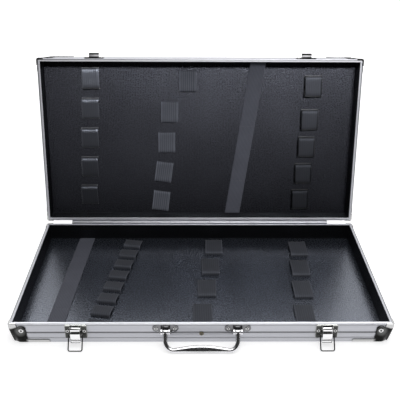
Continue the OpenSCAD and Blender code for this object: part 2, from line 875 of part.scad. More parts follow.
// A leaf of the hinge on a half's back face, with every second knuckle from number `first`
module hinge_leaf(first) {
  color(silver)
    difference() {
      union() {
        translate([-hinge_len / 2, back_y, leaf_top - leaf_h])
          cube([hinge_len, leaf_t, leaf_h]);
        for (i = [first:2:knuckles - 1])
          knuckle(i);
        children();
      }
      translate([-hinge_len, hinge_y, hinge_z])
        rotate([0, 90, 0])
          cylinder(r = hinge_pin_r + pin_gap, h = 2 * hinge_len);
    }
}

// The folded ledge behind the knuckles that the open lid's leaf rests on
module stop_ledge() {
  fold_y = hinge_y + ledge_from + ledge_end_gap;
  fold_z = hinge_z - knuckle_r - stop_gap - leaf_t - ledge_web_gap;
  translate([-hinge_len / 2, back_y, fold_z])
    cube([hinge_len, fold_y + leaf_t - back_y, leaf_t]);
  translate([-hinge_len / 2, fold_y, fold_z])
    cube([hinge_len, leaf_t, hinge_z - fold_z]);
  translate([-hinge_len / 2, hinge_y, hinge_z])
    rotate([-lid_open, 0, 0])
      translate([0, leaf_t - hinge_out + stop_gap, ledge_from])
        cube([hinge_len, leaf_t, stop_reach]);
}

module hinge_rivets() {
  spread = hinge_len - 2 * leaf_rivet_inset;
  color(bright)
    for (i = [0:leaf_rivet_count - 1])
      translate([spread * (i / (leaf_rivet_count - 1) - 0.5), back_y + leaf_t, leaf_rivet_z])
        rotate([-90, 0, 0])
          rivet(rivet_r);
}

module hinge_pin() {
  color(bright)
    translate([-hinge_len / 2, hinge_y, hinge_z])
      rotate([0, 90, 0])
        cylinder(r = hinge_pin_r, h = hinge_len);
}

// A keeper on the lid: a riveted flange with a hook that the wire bail pulls on
module keeper(x) {
  shelf = half_h - shelf_z;
  color(bright) {
    translate([x - keeper_w / 2, front_y - plate_t, half_h - plate_drop - keeper_h])
      cube([keeper_w, plate_t, keeper_h]);
    translate([x, 0, 0])
      along_x(hook_w) {
        translate([front_y - hook_out, shelf])
          square([hook_out - plate_t / 2, shelf_t]);
        translate([front_y - hook_out, shelf - hook_lip_h])
          square([shelf_t, hook_lip_h + shelf_t]);
      }
  }
}

module base_front_rail() front_rail();
module base_back_rail() back_rail();
module base_left_rail() left_rail();
module base_right_rail() right_rail();
module base_panel() panel();
module base_side_boards() side_boards();
module base_wall_lining() wall_lining();
module base_floor_lining() floor_lining();
module base_corner_front_left() corner_guard(-1, -1);
module base_corner_front_right() corner_guard(1, -1);
module base_corner_back_left() corner_guard(-1, 1);
module base_corner_back_right() corner_guard(1, 1);
module base_corner_rivets() corner_rivets();
module base_strap() long_strap(base_strap_far - wall_x, base_strap_near - wall_x);
module base_loops_left() web_loops(base_left_loops);
module base_loops_middle() web_loops(base_middle_loops);
module base_loops_right() web_loops(base_right_loops);
module latch_plate_left() latch_plate(-latch_x);
module latch_plate_right() latch_plate(latch_x);
module latch_lever_left() latch_lever(-latch_x);
module latch_lever_right() latch_lever(latch_x);
module latch_bail_left() latch_bail(-latch_x);
module latch_bail_right() latch_bail(latch_x);
module handle_bracket_left() handle_bracket(-handle_span / 2);
module handle_bracket_right() handle_bracket(handle_span / 2);

module latch_plate_rivets() {
  front_rivets([for (x = [-latch_x, latch_x], side = [-1, 1])
                [x + side * latch_rivet_x, latch_rivet_z]], plate_t);
}

module bracket_rivets() {
  front_rivets([for (x = [-1, 1], side = [-1, 1])
                [x * handle_span / 2 + side * lobe_x, lobe_z]], plate_t);
}

module hinge_leaf_base() hinge_leaf(0) stop_ledge();
module hinge_leaf_lid() open_lid() hinge_leaf(1);
module hinge_rivets_base() hinge_rivets();
module hinge_rivets_lid() open_lid() hinge_rivets();
module lid_front_rail() open_lid() front_rail();
module lid_back_rail() open_lid() back_rail();
module lid_left_rail() open_lid() left_rail();
module lid_right_rail() open_lid() right_rail();
module lid_panel() open_lid() panel();
module lid_side_boards() open_lid() side_boards();
module lid_wall_lining() open_lid() wall_lining();
module lid_floor_lining() open_lid() floor_lining();
module lid_corner_front_left() open_lid() corner_guard(-1, -1);
module lid_corner_front_right() open_lid() corner_guard(1, -1);
module lid_corner_back_left() open_lid() corner_guard(-1, 1);
module lid_corner_back_right() open_lid() corner_guard(1, 1);
module lid_corner_rivets() open_lid() corner_rivets();
module keeper_left() open_lid() keeper(-latch_x);
module keeper_right() open_lid() keeper(latch_x);
module lid_strap() open_lid() long_strap(lid_strap_far, lid_strap_near);
module lid_loops_left() open_lid() web_loops(lid_left_loops);
module lid_loops_middle() open_lid() web_loops(lid_middle_loops);
module lid_loops_right() open_lid() web_loops(lid_right_loops);

module keeper_rivets() {
  open_lid()
    front_rivets([for (x = [-latch_x, latch_x], side = [-1, 1])
                  [x + side * (keeper_w / 2 - rivet_r - rivet_edge), half_h - plate_drop - keeper_h / 2]],
                 plate_t);
}

base_front_rail();
base_back_rail();
base_left_rail();
base_right_rail();
base_panel();
base_side_boards();
base_wall_lining();
base_floor_lining();
base_corner_front_left();
base_corner_front_right();
base_corner_back_left();
base_corner_back_right();
base_corner_rivets();
base_strap();
base_loops_left();
base_loops_middle();
base_loops_right();
latch_plate_left();
latch_plate_right();
latch_plate_rivets();
lever_pins();
latch_lever_left();
latch_lever_right();
latch_bail_left();
latch_bail_right();
handle_bracket_left();
handle_bracket_right();
bracket_rivets();
handle_pins();
carry_handle();
front_eyelet();
hinge_leaf_base();
hinge_leaf_lid();
hinge_pin();
hinge_rivets_base();
hinge_rivets_lid();
lid_front_rail();
lid_back_rail();
lid_left_rail();
lid_right_rail();
lid_panel();
lid_side_boards();
lid_wall_lining();
lid_floor_lining();
lid_corner_front_left();
lid_corner_front_right();
lid_corner_back_left();
lid_corner_back_right();
lid_corner_rivets();
keeper_left();
keeper_right();
keeper_rivets();
lid_strap();
lid_loops_left();
lid_loops_middle();
lid_loops_right();
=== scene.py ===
import json
import math

import bmesh
import bpy
import numpy as np
from mathutils import Matrix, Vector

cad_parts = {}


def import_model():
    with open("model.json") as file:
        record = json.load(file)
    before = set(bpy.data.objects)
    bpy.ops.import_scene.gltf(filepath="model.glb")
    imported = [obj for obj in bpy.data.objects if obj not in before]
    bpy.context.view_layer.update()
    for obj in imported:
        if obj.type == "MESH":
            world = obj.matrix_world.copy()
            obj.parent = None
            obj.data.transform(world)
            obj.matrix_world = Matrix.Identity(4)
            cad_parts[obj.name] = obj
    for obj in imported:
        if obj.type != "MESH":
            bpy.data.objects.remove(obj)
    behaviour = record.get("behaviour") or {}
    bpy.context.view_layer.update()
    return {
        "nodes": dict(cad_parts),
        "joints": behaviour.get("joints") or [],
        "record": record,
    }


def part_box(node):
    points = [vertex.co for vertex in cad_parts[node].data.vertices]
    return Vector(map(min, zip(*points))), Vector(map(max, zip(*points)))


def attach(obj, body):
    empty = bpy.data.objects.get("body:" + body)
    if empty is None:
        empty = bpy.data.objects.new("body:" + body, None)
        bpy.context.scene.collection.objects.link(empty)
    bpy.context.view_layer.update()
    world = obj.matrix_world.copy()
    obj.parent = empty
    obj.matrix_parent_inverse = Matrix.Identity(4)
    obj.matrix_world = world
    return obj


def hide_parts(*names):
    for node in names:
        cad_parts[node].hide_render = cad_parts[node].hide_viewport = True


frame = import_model()
nodes = frame["nodes"]
joints = {joint["name"]: joint for joint in frame["joints"]}
bodyOf = {node: body for body, members in frame["record"]["behaviour"]["bodies"].items() for node in members}
print("frame loaded:", len(nodes), "nodes")

halves, sides = ("base", "lid"), ("left", "right")
mm = 0.001
hair = 0.05 * mm    # play between neighbours
right, back, up = np.eye(3)


def metres(size):
    # Sizes are written in millimetres, alone or in tuples
    return tuple(map(metres, size)) if isinstance(size, tuple) else size * mm


def inMetres(**sizes):
    return {name: metres(size) for name, size in sizes.items()}


def corners(node):
    low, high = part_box(node)
    return np.array(low), np.array(high)


def pivotOf(joint):
    return np.array(joints[joint]["pos_m"])


# The case's own measures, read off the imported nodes
case = {
    "halfWidth": corners("base_right_rail")[1][0],
    "front": corners("base_front_rail")[0][1],
    "rim": corners("base_front_rail")[1][2],
    "panelTop": corners("base_floor_lining")[0][2],
    "floor": corners("base_floor_lining")[1][2],
    "halfFloor": -corners("base_floor_lining")[0][:2],
    "wallLow": corners("base_wall_lining")[0],
    "wallHigh": corners("base_wall_lining")[1],
}
hingePlace = pivotOf("lid_hinge")
lidAngle = math.radians(joints["lid_hinge"]["range_deg"][1])
lidCos, lidSin = math.cos(lidAngle), math.sin(lidAngle)


def openLid(points):
    # A half drawn rim up is mirrored about the rim's plane, then turned open round the hinge
    y, z = points[..., 1] - hingePlace[1], hingePlace[2] - points[..., 2]
    return np.stack([points[..., 0], hingePlace[1] + y * lidCos + z * lidSin,
                     hingePlace[2] - y * lidSin + z * lidCos], -1)


def shutLid(points):
    # The way back from the open lid to the half drawn rim up
    y, z = points[..., 1] - hingePlace[1], points[..., 2] - hingePlace[2]
    return np.stack([points[..., 0], hingePlace[1] + y * lidCos - z * lidSin,
                     hingePlace[2] - y * lidSin - z * lidCos], -1)


def halfPoints(node):
    # A node's points as its half is drawn, rim up and shut
    mesh = nodes[node].data
    points = np.empty(len(mesh.vertices) * 3, np.float32)
    mesh.vertices.foreach_get("co", points)
    points = points.reshape(-1, 3).astype(float)
    return shutLid(points) if bodyOf[node] == "lid" else points


# Mesh making

def gridFaces(rows, columns, closeRows=False, closeColumns=False):
    # Quads between neighbours of a rows x columns grid that is numbered row by row
    r, c = np.meshgrid(np.arange(rows if closeRows else rows - 1),
                       np.arange(columns if closeColumns else columns - 1), indexing="ij")
    nextRow, nextColumn = (r + 1) % rows, (c + 1) % columns
    return np.stack([r * columns + c, r * columns + nextColumn,
                     nextRow * columns + nextColumn, nextRow * columns + c], -1).reshape(-1, 4)


def rimOf(rows, columns):
    # The numbers of such a grid's border points, in their order round it
    index = np.arange(rows * columns).reshape(rows, columns)
    return np.concatenate([index[0, :-1], index[:-1, -1], index[-1, :0:-1], index[:0:-1, 0]])


def shell(points, quads, caps=(), uv=None):
    points = np.asarray(points, float).reshape(-1, 3)
    flat = np.zeros((len(points), 2)) if uv is None else np.asarray(uv, float).reshape(-1, 2)
    return {"points": points, "quads": quads, "caps": [np.asarray(cap) for cap in caps], "uv": flat}


def plate(top, bottom, uv):
    # A closed shell: two grids of points and a border that joins them
    rows, columns = top.shape[:2]
    faces, rim, count = gridFaces(rows, columns), rimOf(rows, columns), rows * columns
    border = np.stack([rim, np.roll(rim, -1), np.roll(rim, -1) + count, rim + count], -1)
    return shell(np.concatenate([top.reshape(-1, 3), bottom.reshape(-1, 3)]),
                 np.concatenate([faces, faces[:, ::-1] + count, border]), (),
                 np.concatenate([uv.reshape(-1, 2)] * 2))


# What the two front lamps light: the lid's lining with its outer loops, and what else faces them
litLining = bpy.data.collections.new("litLining")
litFromFront = bpy.data.collections.new("litFromFront")


def putInLight(piece, name, body, slotName):
    if slotName == "lid_lining" or name in ("lidLoopsLeft", "lidLoopsRight"):
        litLining.objects.link(piece)
    elif (slotName == "webbing" or name.startswith("keeper")
          or (slotName == "rail" and (body == "lid" or "Back" in name))):
        litFromFront.objects.link(piece)


def makePiece(name, shells, paint, body, slotName, stands=None, edge=0, smoothTo=40):
    # One object from closed shells: doubles merged, faces turned outwards, smooth up to an angle;
    # the lid's pieces come drawn rim up, as the base's do, and are opened here
    starts = np.cumsum([0] + [len(s["points"]) for s in shells[:-1]])
    loops = np.concatenate([part for s, start in zip(shells, starts)
                            for part in ((s["quads"] + start).ravel(), *(cap + start for cap in s["caps"]))])
    sizes = np.concatenate([np.concatenate([np.full(len(s["quads"]), 4), [len(cap) for cap in s["caps"]]])
                            for s in shells]).astype(int)
    mesh = bpy.data.meshes.new(name)
    places = np.concatenate([s["points"] for s in shells])
    places = openLid(places) if body == "lid" else places
    mesh.vertices.add(len(places))
    mesh.vertices.foreach_set("co", places.astype(np.float32).ravel())
    mesh.loops.add(len(loops))
    mesh.loops.foreach_set("vertex_index", loops.astype(np.int32))
    mesh.polygons.add(len(sizes))
    mesh.polygons.foreach_set("loop_start", (np.cumsum(sizes) - sizes).astype(np.int32))
    mesh.update(calc_edges=True)
    layer = mesh.uv_layers.new(name="laid")
    layer.data.foreach_set("uv", np.concatenate([s["uv"] for s in shells])[loops].astype(np.float32).ravel())
    mesh.validate()
    work = bmesh.new()
    work.from_mesh(mesh)
    bmesh.ops.remove_doubles(work, verts=work.verts, dist=1e-6)
    bmesh.ops.recalc_face_normals(work, faces=work.faces)
    work.to_mesh(mesh)
    work.free()
    mesh.shade_smooth()
    mesh.set_sharp_from_angle(angle=math.radians(smoothTo))
    mesh.materials.append(paints[paint].material)
    piece = bpy.data.objects.new(name, mesh)
    bpy.context.scene.collection.objects.link(piece)
    putInLight(piece, name, body, slotName)
    if edge:
        bevel = piece.modifiers.new("edge", "BEVEL")
        bevel.width = edge
        bevel.segments = 3
        bevel.limit_method = "ANGLE"
        bevel.angle_limit = math.radians(smoothTo)
        bevel.harden_normals = True
    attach(piece, body)
    if stands:
        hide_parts(stands)
    return piece


def unit(vectors):
    return vectors / np.linalg.norm(vectors, axis=-1, keepdims=True)


def runAlong(path):
    # The distance from a line's first point to each of its points
    return np.concatenate([[0], np.cumsum(np.linalg.norm(np.diff(path, axis=0), axis=1))])


def evenly(path, count):
    # The same line with points at equal steps along it
    path = np.asarray(path, float)
    run = runAlong(path)
    wanted = np.linspace(0, run[-1], count)
    return np.stack([np.interp(wanted, run, path[:, i]) for i in range(path.shape[1])], 1)


def sweep(path, section, side, closed=False):
    # Ring i = path point i + section's first number along side + its second along the path's normal
    path, section = np.asarray(path, float), np.asarray(section, float)
    ahead = (np.roll(path, -1, 0) - np.roll(path, 1, 0)) if closed else np.gradient(path, axis=0)
    ahead = unit(ahead - (ahead @ side)[:, None] * side)
    normal = np.cross(side, ahead)
    section = np.broadcast_to(section, (len(path),) + section.shape[-2:])
    rings = path[:, None] + section[..., :1] * side + section[..., 1:] * normal[:, None]
    rows, columns = rings.shape[:2]
    uv = np.stack([section[..., 0], np.broadcast_to(runAlong(path)[:, None], (rows, columns))], -1)
    ends = [] if closed else [np.arange(columns), (rows - 1) * columns + np.arange(columns)]
    return shell(rings, gridFaces(rows, columns, closed, True), ends, uv)


def spun(profile, place, axis, steps):
    # The profile's (radius, height) points turned round an axis through place
    profile = np.asarray(profile, float)
    across = unit(np.cross(axis, up if abs(axis[2]) < 0.9 else right))
    other = np.cross(axis, across)
    turn = np.linspace(0, 2 * np.pi, steps, endpoint=False)
    spoke = np.cos(turn)[:, None] * across + np.sin(turn)[:, None] * other
    points = place + profile[:, None, :1] * spoke + profile[:, None, 1:] * axis
    uv = np.repeat(profile[:, None], steps, 1)
    return shell(points, gridFaces(len(profile), steps, False, True), (), uv)


def stamped(outline, place, across, along, thickness):
    # A flat outline in (across, along), extruded on both sides of place by half its thickness
    outline = np.asarray(outline, float)
    out = np.cross(across, along)
    flat = place + outline[:, :1] * across + outline[:, 1:] * along
    points = np.stack([flat - out * thickness / 2, flat + out * thickness / 2])
    n = len(outline)
    caps = [np.arange(n), n + np.arange(n)]
    return shell(points, gridFaces(2, n, False, True), caps, np.stack([outline] * 2))


def arc(x, y, radius, start, stop, steps):
    # Points on a circle from one angle to another, in degrees
    turn = np.radians(np.linspace(start, stop, steps))
    return np.stack([x + radius * np.cos(turn), y + radius * np.sin(turn)], -1)


def roundedBox(width, height, radius, steps=6):
    # A rectangle's outline about its middle, with a quarter circle in each corner
    w, h = width / 2 - radius, height / 2 - radius
    quarters = ((w, h, 0), (-w, h, 90), (-w, -h, 180), (w, -h, 270))
    return np.concatenate([arc(x, y, radius, start, start + 90, steps) for x, y, start in quarters])


def mirrored(outline):
    # The outline and then its mirror image, walked backwards
    return np.concatenate([outline, (outline * [-1, 1])[::-1]])


# Shader making

def reckoned(operation, reflected=False):
    # A Wire's operator, which adds a Math node
    def work(wire, other=0):
        first, second = (other, wire) if reflected else (wire, other)
        return wire.nodeTree.node("Math", {"operation": operation}, {0: first, 1: second})
    return work


class Wire:
    # A value in a node tree
    def __init__(self, nodeTree, socket):
        self.nodeTree = nodeTree
        self.socket = socket

    __add__, __radd__ = reckoned("ADD"), reckoned("ADD", True)
    __sub__, __rsub__ = reckoned("SUBTRACT"), reckoned("SUBTRACT", True)
    __mul__, __rmul__ = reckoned("MULTIPLY"), reckoned("MULTIPLY", True)
    __abs__, sine, orMore = reckoned("ABSOLUTE"), reckoned("SINE"), reckoned("MAXIMUM")


class NodeTree:
    def __init__(self, tree):
        self.tree = tree
        tree.nodes.clear()

    def node(self, kind, settings, sockets, output=0):
        made = self.tree.nodes.new("ShaderNode" + kind)
        for key, value in settings.items():
            setattr(made, key, value)
        for key, value in sockets.items():
            if isinstance(value, Wire):
                self.tree.links.new(value.socket, made.inputs[key])
            else:
                made.inputs[key].default_value = value
        return Wire(self, made.outputs[output])

    def part(self, vector, axis):
        return self.node("SeparateXYZ", {}, {0: vector}, axis)

    def coordinates(self, source="Object", scale=(1, 1, 1)):
        place = self.node("TexCoord", {}, {}, source)
        return self.node("VectorMath", {"operation": "MULTIPLY"}, {0: place, 1: scale})

    def noise(self, vector, scale=1.0, detail=3, roughness=0.5):
        return self.node("TexNoise", {}, {"Vector": vector, "Scale": scale, "Detail": detail,
                                          "Roughness": roughness})

    def between(self, factor, first, second):
        return self.node("Mix", {"data_type": "RGBA"}, {0: factor, 6: first, 7: second}, 2)

    def clamped(self, value, low, high):
        # Maps low..high to 0..1, and holds it there
        return self.node("MapRange", {"clamp": True}, {0: value, 1: low, 2: high})

    def ray(self, kind):
        return self.node("LightPath", {}, {}, "Is " + kind + " Ray")


class Paint(NodeTree):
    # One material: fixed numbers go straight on its shader, wires feed what varies
    def __init__(self, name, fixed):
        self.material = bpy.data.materials.new(name)
        self.material.use_nodes = True
        super().__init__(self.material.node_tree)
        self.shader = self.tree.nodes.new("ShaderNodeBsdfPrincipled")
        output = self.tree.nodes.new("ShaderNodeOutputMaterial")
        self.tree.links.new(self.shader.outputs[0], output.inputs[0])
        for socket, value in fixed.items():
            self.shader.inputs[socket].default_value = value

    def link(self, **wires):
        # Each name is a socket's without its blanks
        for socket in self.shader.inputs:
            wire = wires.get(socket.name.replace(" ", ""))
            if wire:
                self.tree.links.new(wire.socket, socket)

    def feed(self, colour, roughness, height, distance, strength):
        bump = self.node("Bump", {}, {"Height": height, "Distance": distance, "Strength": strength})
        self.link(BaseColor=colour, Roughness=roughness, Normal=bump)

    def smudge(self):
        return self.noise(self.coordinates(scale=(160, 160, 160)), 1, 4, 0.6)


def grey(value, tint=(1, 1, 1)):
    return (value * tint[0], value * tint[1], value * tint[2], 1)


def brushedMetal(name, colour, roughness, paintedLightStrips=(), streaks=(5, 900, 1), source="UV"):
    # Long fine streaks and wider streaks from drawing along one axis change the tone and the roughness a
    # little;
    # each painted strip (place, half width, share, shade) turns a strip of the section to another shade:
    # painted shade in grooves and along edges, a painted highlight on a land
    paint = Paint(name, {"Metallic": 1.0})
    grain = paint.noise(paint.coordinates(source, streaks), 1, 4, 0.6)
    wide = paint.noise(paint.coordinates(source, [0.3 * s for s in streaks]), 1, 2)
    cloud = paint.noise(paint.coordinates(scale=(9, 9, 9)), 1, 2)
    tone = 0.4 * grain + 0.4 * wide + 0.2 * cloud
    drawn = paint.between(paint.clamped(tone, 0.3, 0.7), grey(colour * 0.82, (0.97, 0.985, 1.07)),
                          grey(colour * 1.12, (0.98, 0.99, 1.04)))
    # Each strip is painted light: a darker one paints shade, a lighter one paints a highlight
    for at, half, share, shade in paintedLightStrips:
        across = abs(paint.part(paint.coordinates(source), 1) - at * mm)
        near = paint.clamped(across, half * mm, 0.4 * half * mm)
        drawn = paint.between(share * near, drawn, grey(shade, (0.98, 0.99, 1.04)))
    paint.feed(drawn, roughness + 0.16 * (grain - 0.5) + 0.1 * (cloud - 0.5), grain, 0.00002, 0.6)
    return paint


def plated(name, colour, tint=(1, 1, 1), roughness=0.1, paintedLightMarks=(), wave=0.35):
    # Bright plate: a slow waviness bends reflections, smudges dull them; each mark (axis, start, full, tone)
    # is painted light:
    # it turns the plate to another tone, darker for painted shade and lighter for a painted highlight, along
    # a piece's own measure, from where it starts to where it is full, in mm
    paint = Paint(name, {"Metallic": 1.0})
    smudge = paint.smudge()
    shade = paint.between(smudge, grey(colour * 0.9, tint), grey(colour * 1.06, tint))
    for axis, start, full, tone in paintedLightMarks:
        along = paint.part(paint.coordinates("UV"), axis)
        along = along if axis else abs(along)
        shade = paint.between(paint.clamped(along, start * mm, full * mm), shade, grey(tone, tint))
    slow = paint.noise(paint.coordinates(scale=(140, 140, 140)), 1, 1)
    paint.feed(shade, roughness + 0.12 * paint.clamped(smudge, 0.45, 0.8), slow, 0.0003, wave)
    return paint


def protectorPlate(name, look):
    # Plate whose face is painted dark, a painted reflection of the dark room, with a painted lit spot at the
    # lobe that fades to painted shade towards its outline, and painted highlights where it turns over the rim
    # and in its low arms
    paint = Paint(name, {"Metallic": 1.0})
    laid = paint.coordinates("UV")
    away, height = paint.part(laid, 0), paint.part(laid, 1)
    lowered = look["rimLower"] * (1 - paint.clamped(away, *look["lowerTo"]))
    rim = paint.clamped(height + lowered, *look["rimFrom"])
    apart = paint.node("VectorMath", {"operation": "DISTANCE"}, {0: laid, 1: (*look["lit"], 0)}, 1)
    face = paint.between(paint.clamped(apart, *look["litTo"]), grey(look["face"], look["tint"]),
                         grey(look["dark"], look["tint"]))
    arm = (1 - paint.clamped(height, *look["armTo"])) * paint.clamped(away, *look["armFrom"])
    smudge = paint.smudge()
    tone = rim.orMore(arm) + 0.12 * (smudge - 0.5)
    dent = paint.noise(paint.coordinates(scale=(120, 120, 120)), 1, 1)
    paint.feed(paint.between(tone, face, grey(look["bright"])),
               look["roughness"] + 0.12 * paint.clamped(smudge, 0.45, 0.8), dent, 0.0012, 0.5)
    return paint


def pebbled(name, colour, source="UV"):
    # Silver sheet with a fine pebbled emboss
    paint = Paint(name, {"Metallic": 0.85})
    cells = paint.node("TexVoronoi", {"feature": "SMOOTH_F1"},
                       {"Vector": paint.coordinates(source), "Scale": 620, "Smoothness": 0.6})
    cloud = paint.noise(paint.coordinates(), 24)
    shade = paint.between(paint.clamped(cells, 0.1, 0.7), grey(colour * 1.08), grey(colour * 0.8))
    paint.feed(shade, 0.34 + 0.14 * cloud, 1 - cells, 0.00018, 0.7)
    return paint


# A blue tint on the gloss of the linings and webbing: a painted colour of the bluish light they reflect
paintedBlueGloss = (0.86, 0.93, 1.1, 1)
printPitch = 2.4 * mm


def liningCloth(name, look):
    # Leathercloth with the print of a plain weave: threads one way and the other, broken by noise
    paint = Paint(name, {"IOR": look["ior"], "Specular IOR Level": 0.5, "Specular Tint": paintedBlueGloss})
    laid = paint.coordinates("UV")
    turns = 2 * math.pi / printPitch
    drift = paint.noise(laid, 90, 2) * 1.6
    warp, weft = ((paint.part(laid, axis) * turns + drift).sine() for axis in (0, 1))
    weave = 0.5 + 0.25 * warp * weft + 0.25 * warp
    fine = paint.noise(laid, look["fleck"], 3, 0.65)
    mottle = paint.noise(laid, 480, 2, 0.7)
    cloud = paint.noise(laid, 11)
    tone = 0.4 * weave + 0.3 * fine + 0.3 * mottle + 0.3 * (cloud - 0.3)
    paint.feed(paint.between(tone, grey(look["dark"], look["tint"]), grey(look["light"], look["tint"])),
               look["roughness"] + 0.5 * (fine + mottle - 1) + look["scuff"] * (cloud - 0.5),
               0.4 * weave + fine + look["mottle"] * mottle, 0.0006, look["emboss"])
    return paint


def webbingCloth(name, look):
    # Elastic webbing: cords along the band, a finer weft across; the selvedges get a painted highlight
    # (painted shade where edge is below zero), and where ends is below zero the band's ends get painted shade
    look = {"cord": 2.8, "weft": 1.1, "tint": (0.93, 0.98, 1.18), "roughness": 0.62, "gloss": 0.35,
            "edge": 0.5, "middle": 0, "ends": 0} | look
    paint = Paint(name, {"Sheen Weight": 0.06, "Sheen Roughness": 0.4, "Specular IOR Level": look["gloss"],
                         "Specular Tint": paintedBlueGloss})
    laid = paint.coordinates("UV")
    across, along = paint.part(laid, 0), paint.part(laid, 1)
    cord = (across * (2 * math.pi / (look["cord"] * mm))).sine()
    weft = (along * (2 * math.pi / (look["weft"] * mm)) + cord * 1.5).sine()
    fuzz = paint.noise(laid, 1500, 3, 0.6)
    height = 0.5 + 0.36 * cord + 0.12 * weft
    selvedgeLightOrShade, bandEndShade = metres((10.6, 11.8)), metres((14, 16))      # where each sets in and where it is full
    edge = paint.clamped(abs(across), *selvedgeLightOrShade)
    ends = paint.clamped(abs(along - look["middle"] * mm), *bandEndShade)
    tone = (0.7 * height + 0.2 * fuzz + 0.3 * (paint.noise(laid, 55, 2) - 0.4)
            + look["edge"] * edge + look["ends"] * ends)
    paint.feed(paint.between(tone, grey(look["dark"], look["tint"]), grey(look["light"], look["tint"])),
               look["roughness"] + 0.25 * (fuzz - 0.5), height + 0.3 * fuzz, 0.00016, 0.8)
    return paint


# A rail's painted strips, counted in mm down its section from the land's inner edge: painted shade in the
# grooves, a painted highlight on the land, painted shade along its edge line
railGrooveShade = ((16.9, 1.5, 0.6, 0.03), (24.4, 0.9, 0.2, 0.03))

paints = {name: make(*look) for name, make, *look in (
    # The four rail paints are one brushed aluminium in four tones, lighter or darker for how the light falls
    # on each rail: lit and shaded copies of one material
    ("railBase", brushedMetal, "brushedAluminiumBase", 0.56, 0.44, (
        *railGrooveShade, (2.2, 3.2, 1, 0.8), (5.8, 0.8, 0.45, 0.03))),
    ("railLid", brushedMetal, "brushedAluminiumLid", 0.48, 0.46, (
        *railGrooveShade, (1.1, 1.9, 1, 0.6), (2.5, 0.9, 0.9, 0.03))),
    ("railSide", brushedMetal, "brushedAluminiumSides", 0.5, 0.5, (*railGrooveShade, (3.4, 0.8, 0.6, 0.03))),
    ("railBack", brushedMetal, "brushedAluminiumBack", 0.6, 0.46, railGrooveShade),
    ("hinge", brushedMetal, "hingeSteel", 0.35, 0.36, (), (7, 500, 500), "Object"),
    ("panel", pebbled, "pebbledSheet", 0.66),
    ("board", pebbled, "hardboard", 0.3, "Object"),
    ("nickel", plated, "nickelPlate", 0.8, (1, 1, 1.01), 0.08),
    # The handle's mark paints a dark strip along the inner and outer rims of its tube: painted shade for the
    # dark floor and shadow beneath it
    ("handle", plated, "handlePlate", 0.82, (1, 1, 1.02), 0.17, ((0, 1.5, 0.8, 0.12),)),
    ("lever", plated, "leverPlate", 0.9, (1, 1, 1.01), 0.06, (), 0.1),
    ("wire", plated, "brightWire", 0.2, (1, 1, 1.01), 0.14),
    # The rivet marks paint the bore and the foot of each head dark: painted shade
    ("rivet", plated, "tubularRivets", 0.7, (1, 1, 1.01), 0.1, (
        (0, 1.1, 0.8, 0.04), (1, 0.2, 0, 0.05))),
    ("dullRivet", plated, "dullRivets", 0.6, (1, 1, 1), 0.16, ((0, 1.1, 0.8, 0.1), (1, 0.2, 0, 0.02))),
    # The bracket mark paints its lugs far lighter than the plate: a painted highlight
    ("bracket", plated, "bracketPlate", 0.2, (1, 1, 1.04), 0.16, ((0, 30, 31, 0.85),)),
    # The keeper's marks paint shade on the flange, at the hook's root and on the strip beyond 5 mm, leaving a
    # painted lit strip on the hook
    ("keeper", plated, "keeperPlate", 0.45, (1, 1, 1.03), 0.42, (
        (1, 4.6, 5, 0.01), (1, 2.4, 2, 0.01))),
    # The latch plate's marks paint highlights: lighter side edges and ears, and a bright top edge
    ("basePlate", plated, "latchBasePlate", 0.06, (0.98, 1.0, 0.96), 0.18, (
        (0, 12.3, 13, 0.3), (1, 7.6, 9.2, 0.8))),
    # The eyelet's mark paints its bore dark: painted shade
    ("brass", plated, "brassEyelet", 0.2, (1, 0.88, 0.6), 0.22, ((0, 1.5, 1.2, 0.03),)),
    # The protector's painted light: a lit spot on the face (lit, litTo), painted shade on the rest of it,
    # painted highlights over the rim and on the low arms
    ("guard", protectorPlate, "protectorPlate", inMetres(
        lit=(13, 17), litTo=(3.5, 8), rimLower=3.5, lowerTo=(3, 12), rimFrom=(24, 26), armTo=(4.5, 6.5),
        armFrom=(19, 23)) | {
            "dark": 0.012, "face": 0.11, "bright": 0.55, "tint": (1, 1.02, 1), "roughness": 0.16}),
    ("floor", liningCloth, "floorLeathercloth", {
        "dark": 0.006, "light": 0.024, "tint": (0.84, 0.97, 1.25), "fleck": 700,
        "ior": 2.0, "roughness": 0.27, "scuff": 0.12, "emboss": 0.16, "mottle": 1.8}),
    ("lidFloor", liningCloth, "lidCloth", {
        "dark": 0.001, "light": 0.005, "tint": (0.95, 0.97, 1.2), "fleck": 620,
        "ior": 1.22, "roughness": 0.25, "scuff": 0.1, "emboss": 0.24, "mottle": 2.8}),
    ("wall", liningCloth, "wallCloth", {
        "dark": 0.002, "light": 0.01, "tint": (1, 1, 1.12), "fleck": 700,
        "ior": 1.3, "roughness": 0.38, "scuff": 0.25, "emboss": 0.4, "mottle": 0.6}),
    # webbing, webbingLid, webbingDim and webbingSatin are one elastic webbing in several tones, each lighter
    # or darker for the light its place gets: lit and shaded copies of one material
    ("webbing", webbingCloth, "elasticWebbing", {"dark": 0.002, "light": 0.036}),
    ("webbingLid", webbingCloth, "elasticWebbingLid", {"dark": 0.003, "light": 0.085, "cord": 3}),
    # webbingDim paints shade along its selvedges and at the ends of each loop
    ("webbingDim", webbingCloth, "elasticWebbingDim", {
        "dark": 0.0006, "light": 0.0085, "roughness": 0.5, "gloss": 0.03,
        "edge": -1.0, "middle": 20, "ends": -1.0}),
    ("webbingSatin", webbingCloth, "satinWebbing", {
        "dark": 0.0006, "light": 0.0085, "roughness": 0.4, "gloss": 0.14}),
    ("strap", webbingCloth, "sewnStrap", {
        "dark": 0.012, "light": 0.07, "tint": (0.95, 0.98, 1.22), "cord": 2, "weft": 1.2}),
    ("thread", webbingCloth, "sewingThread", {
        "dark": 0.03, "light": 0.12, "tint": (1, 1, 1.04), "cord": 0.6, "weft": 0.4}),
)}
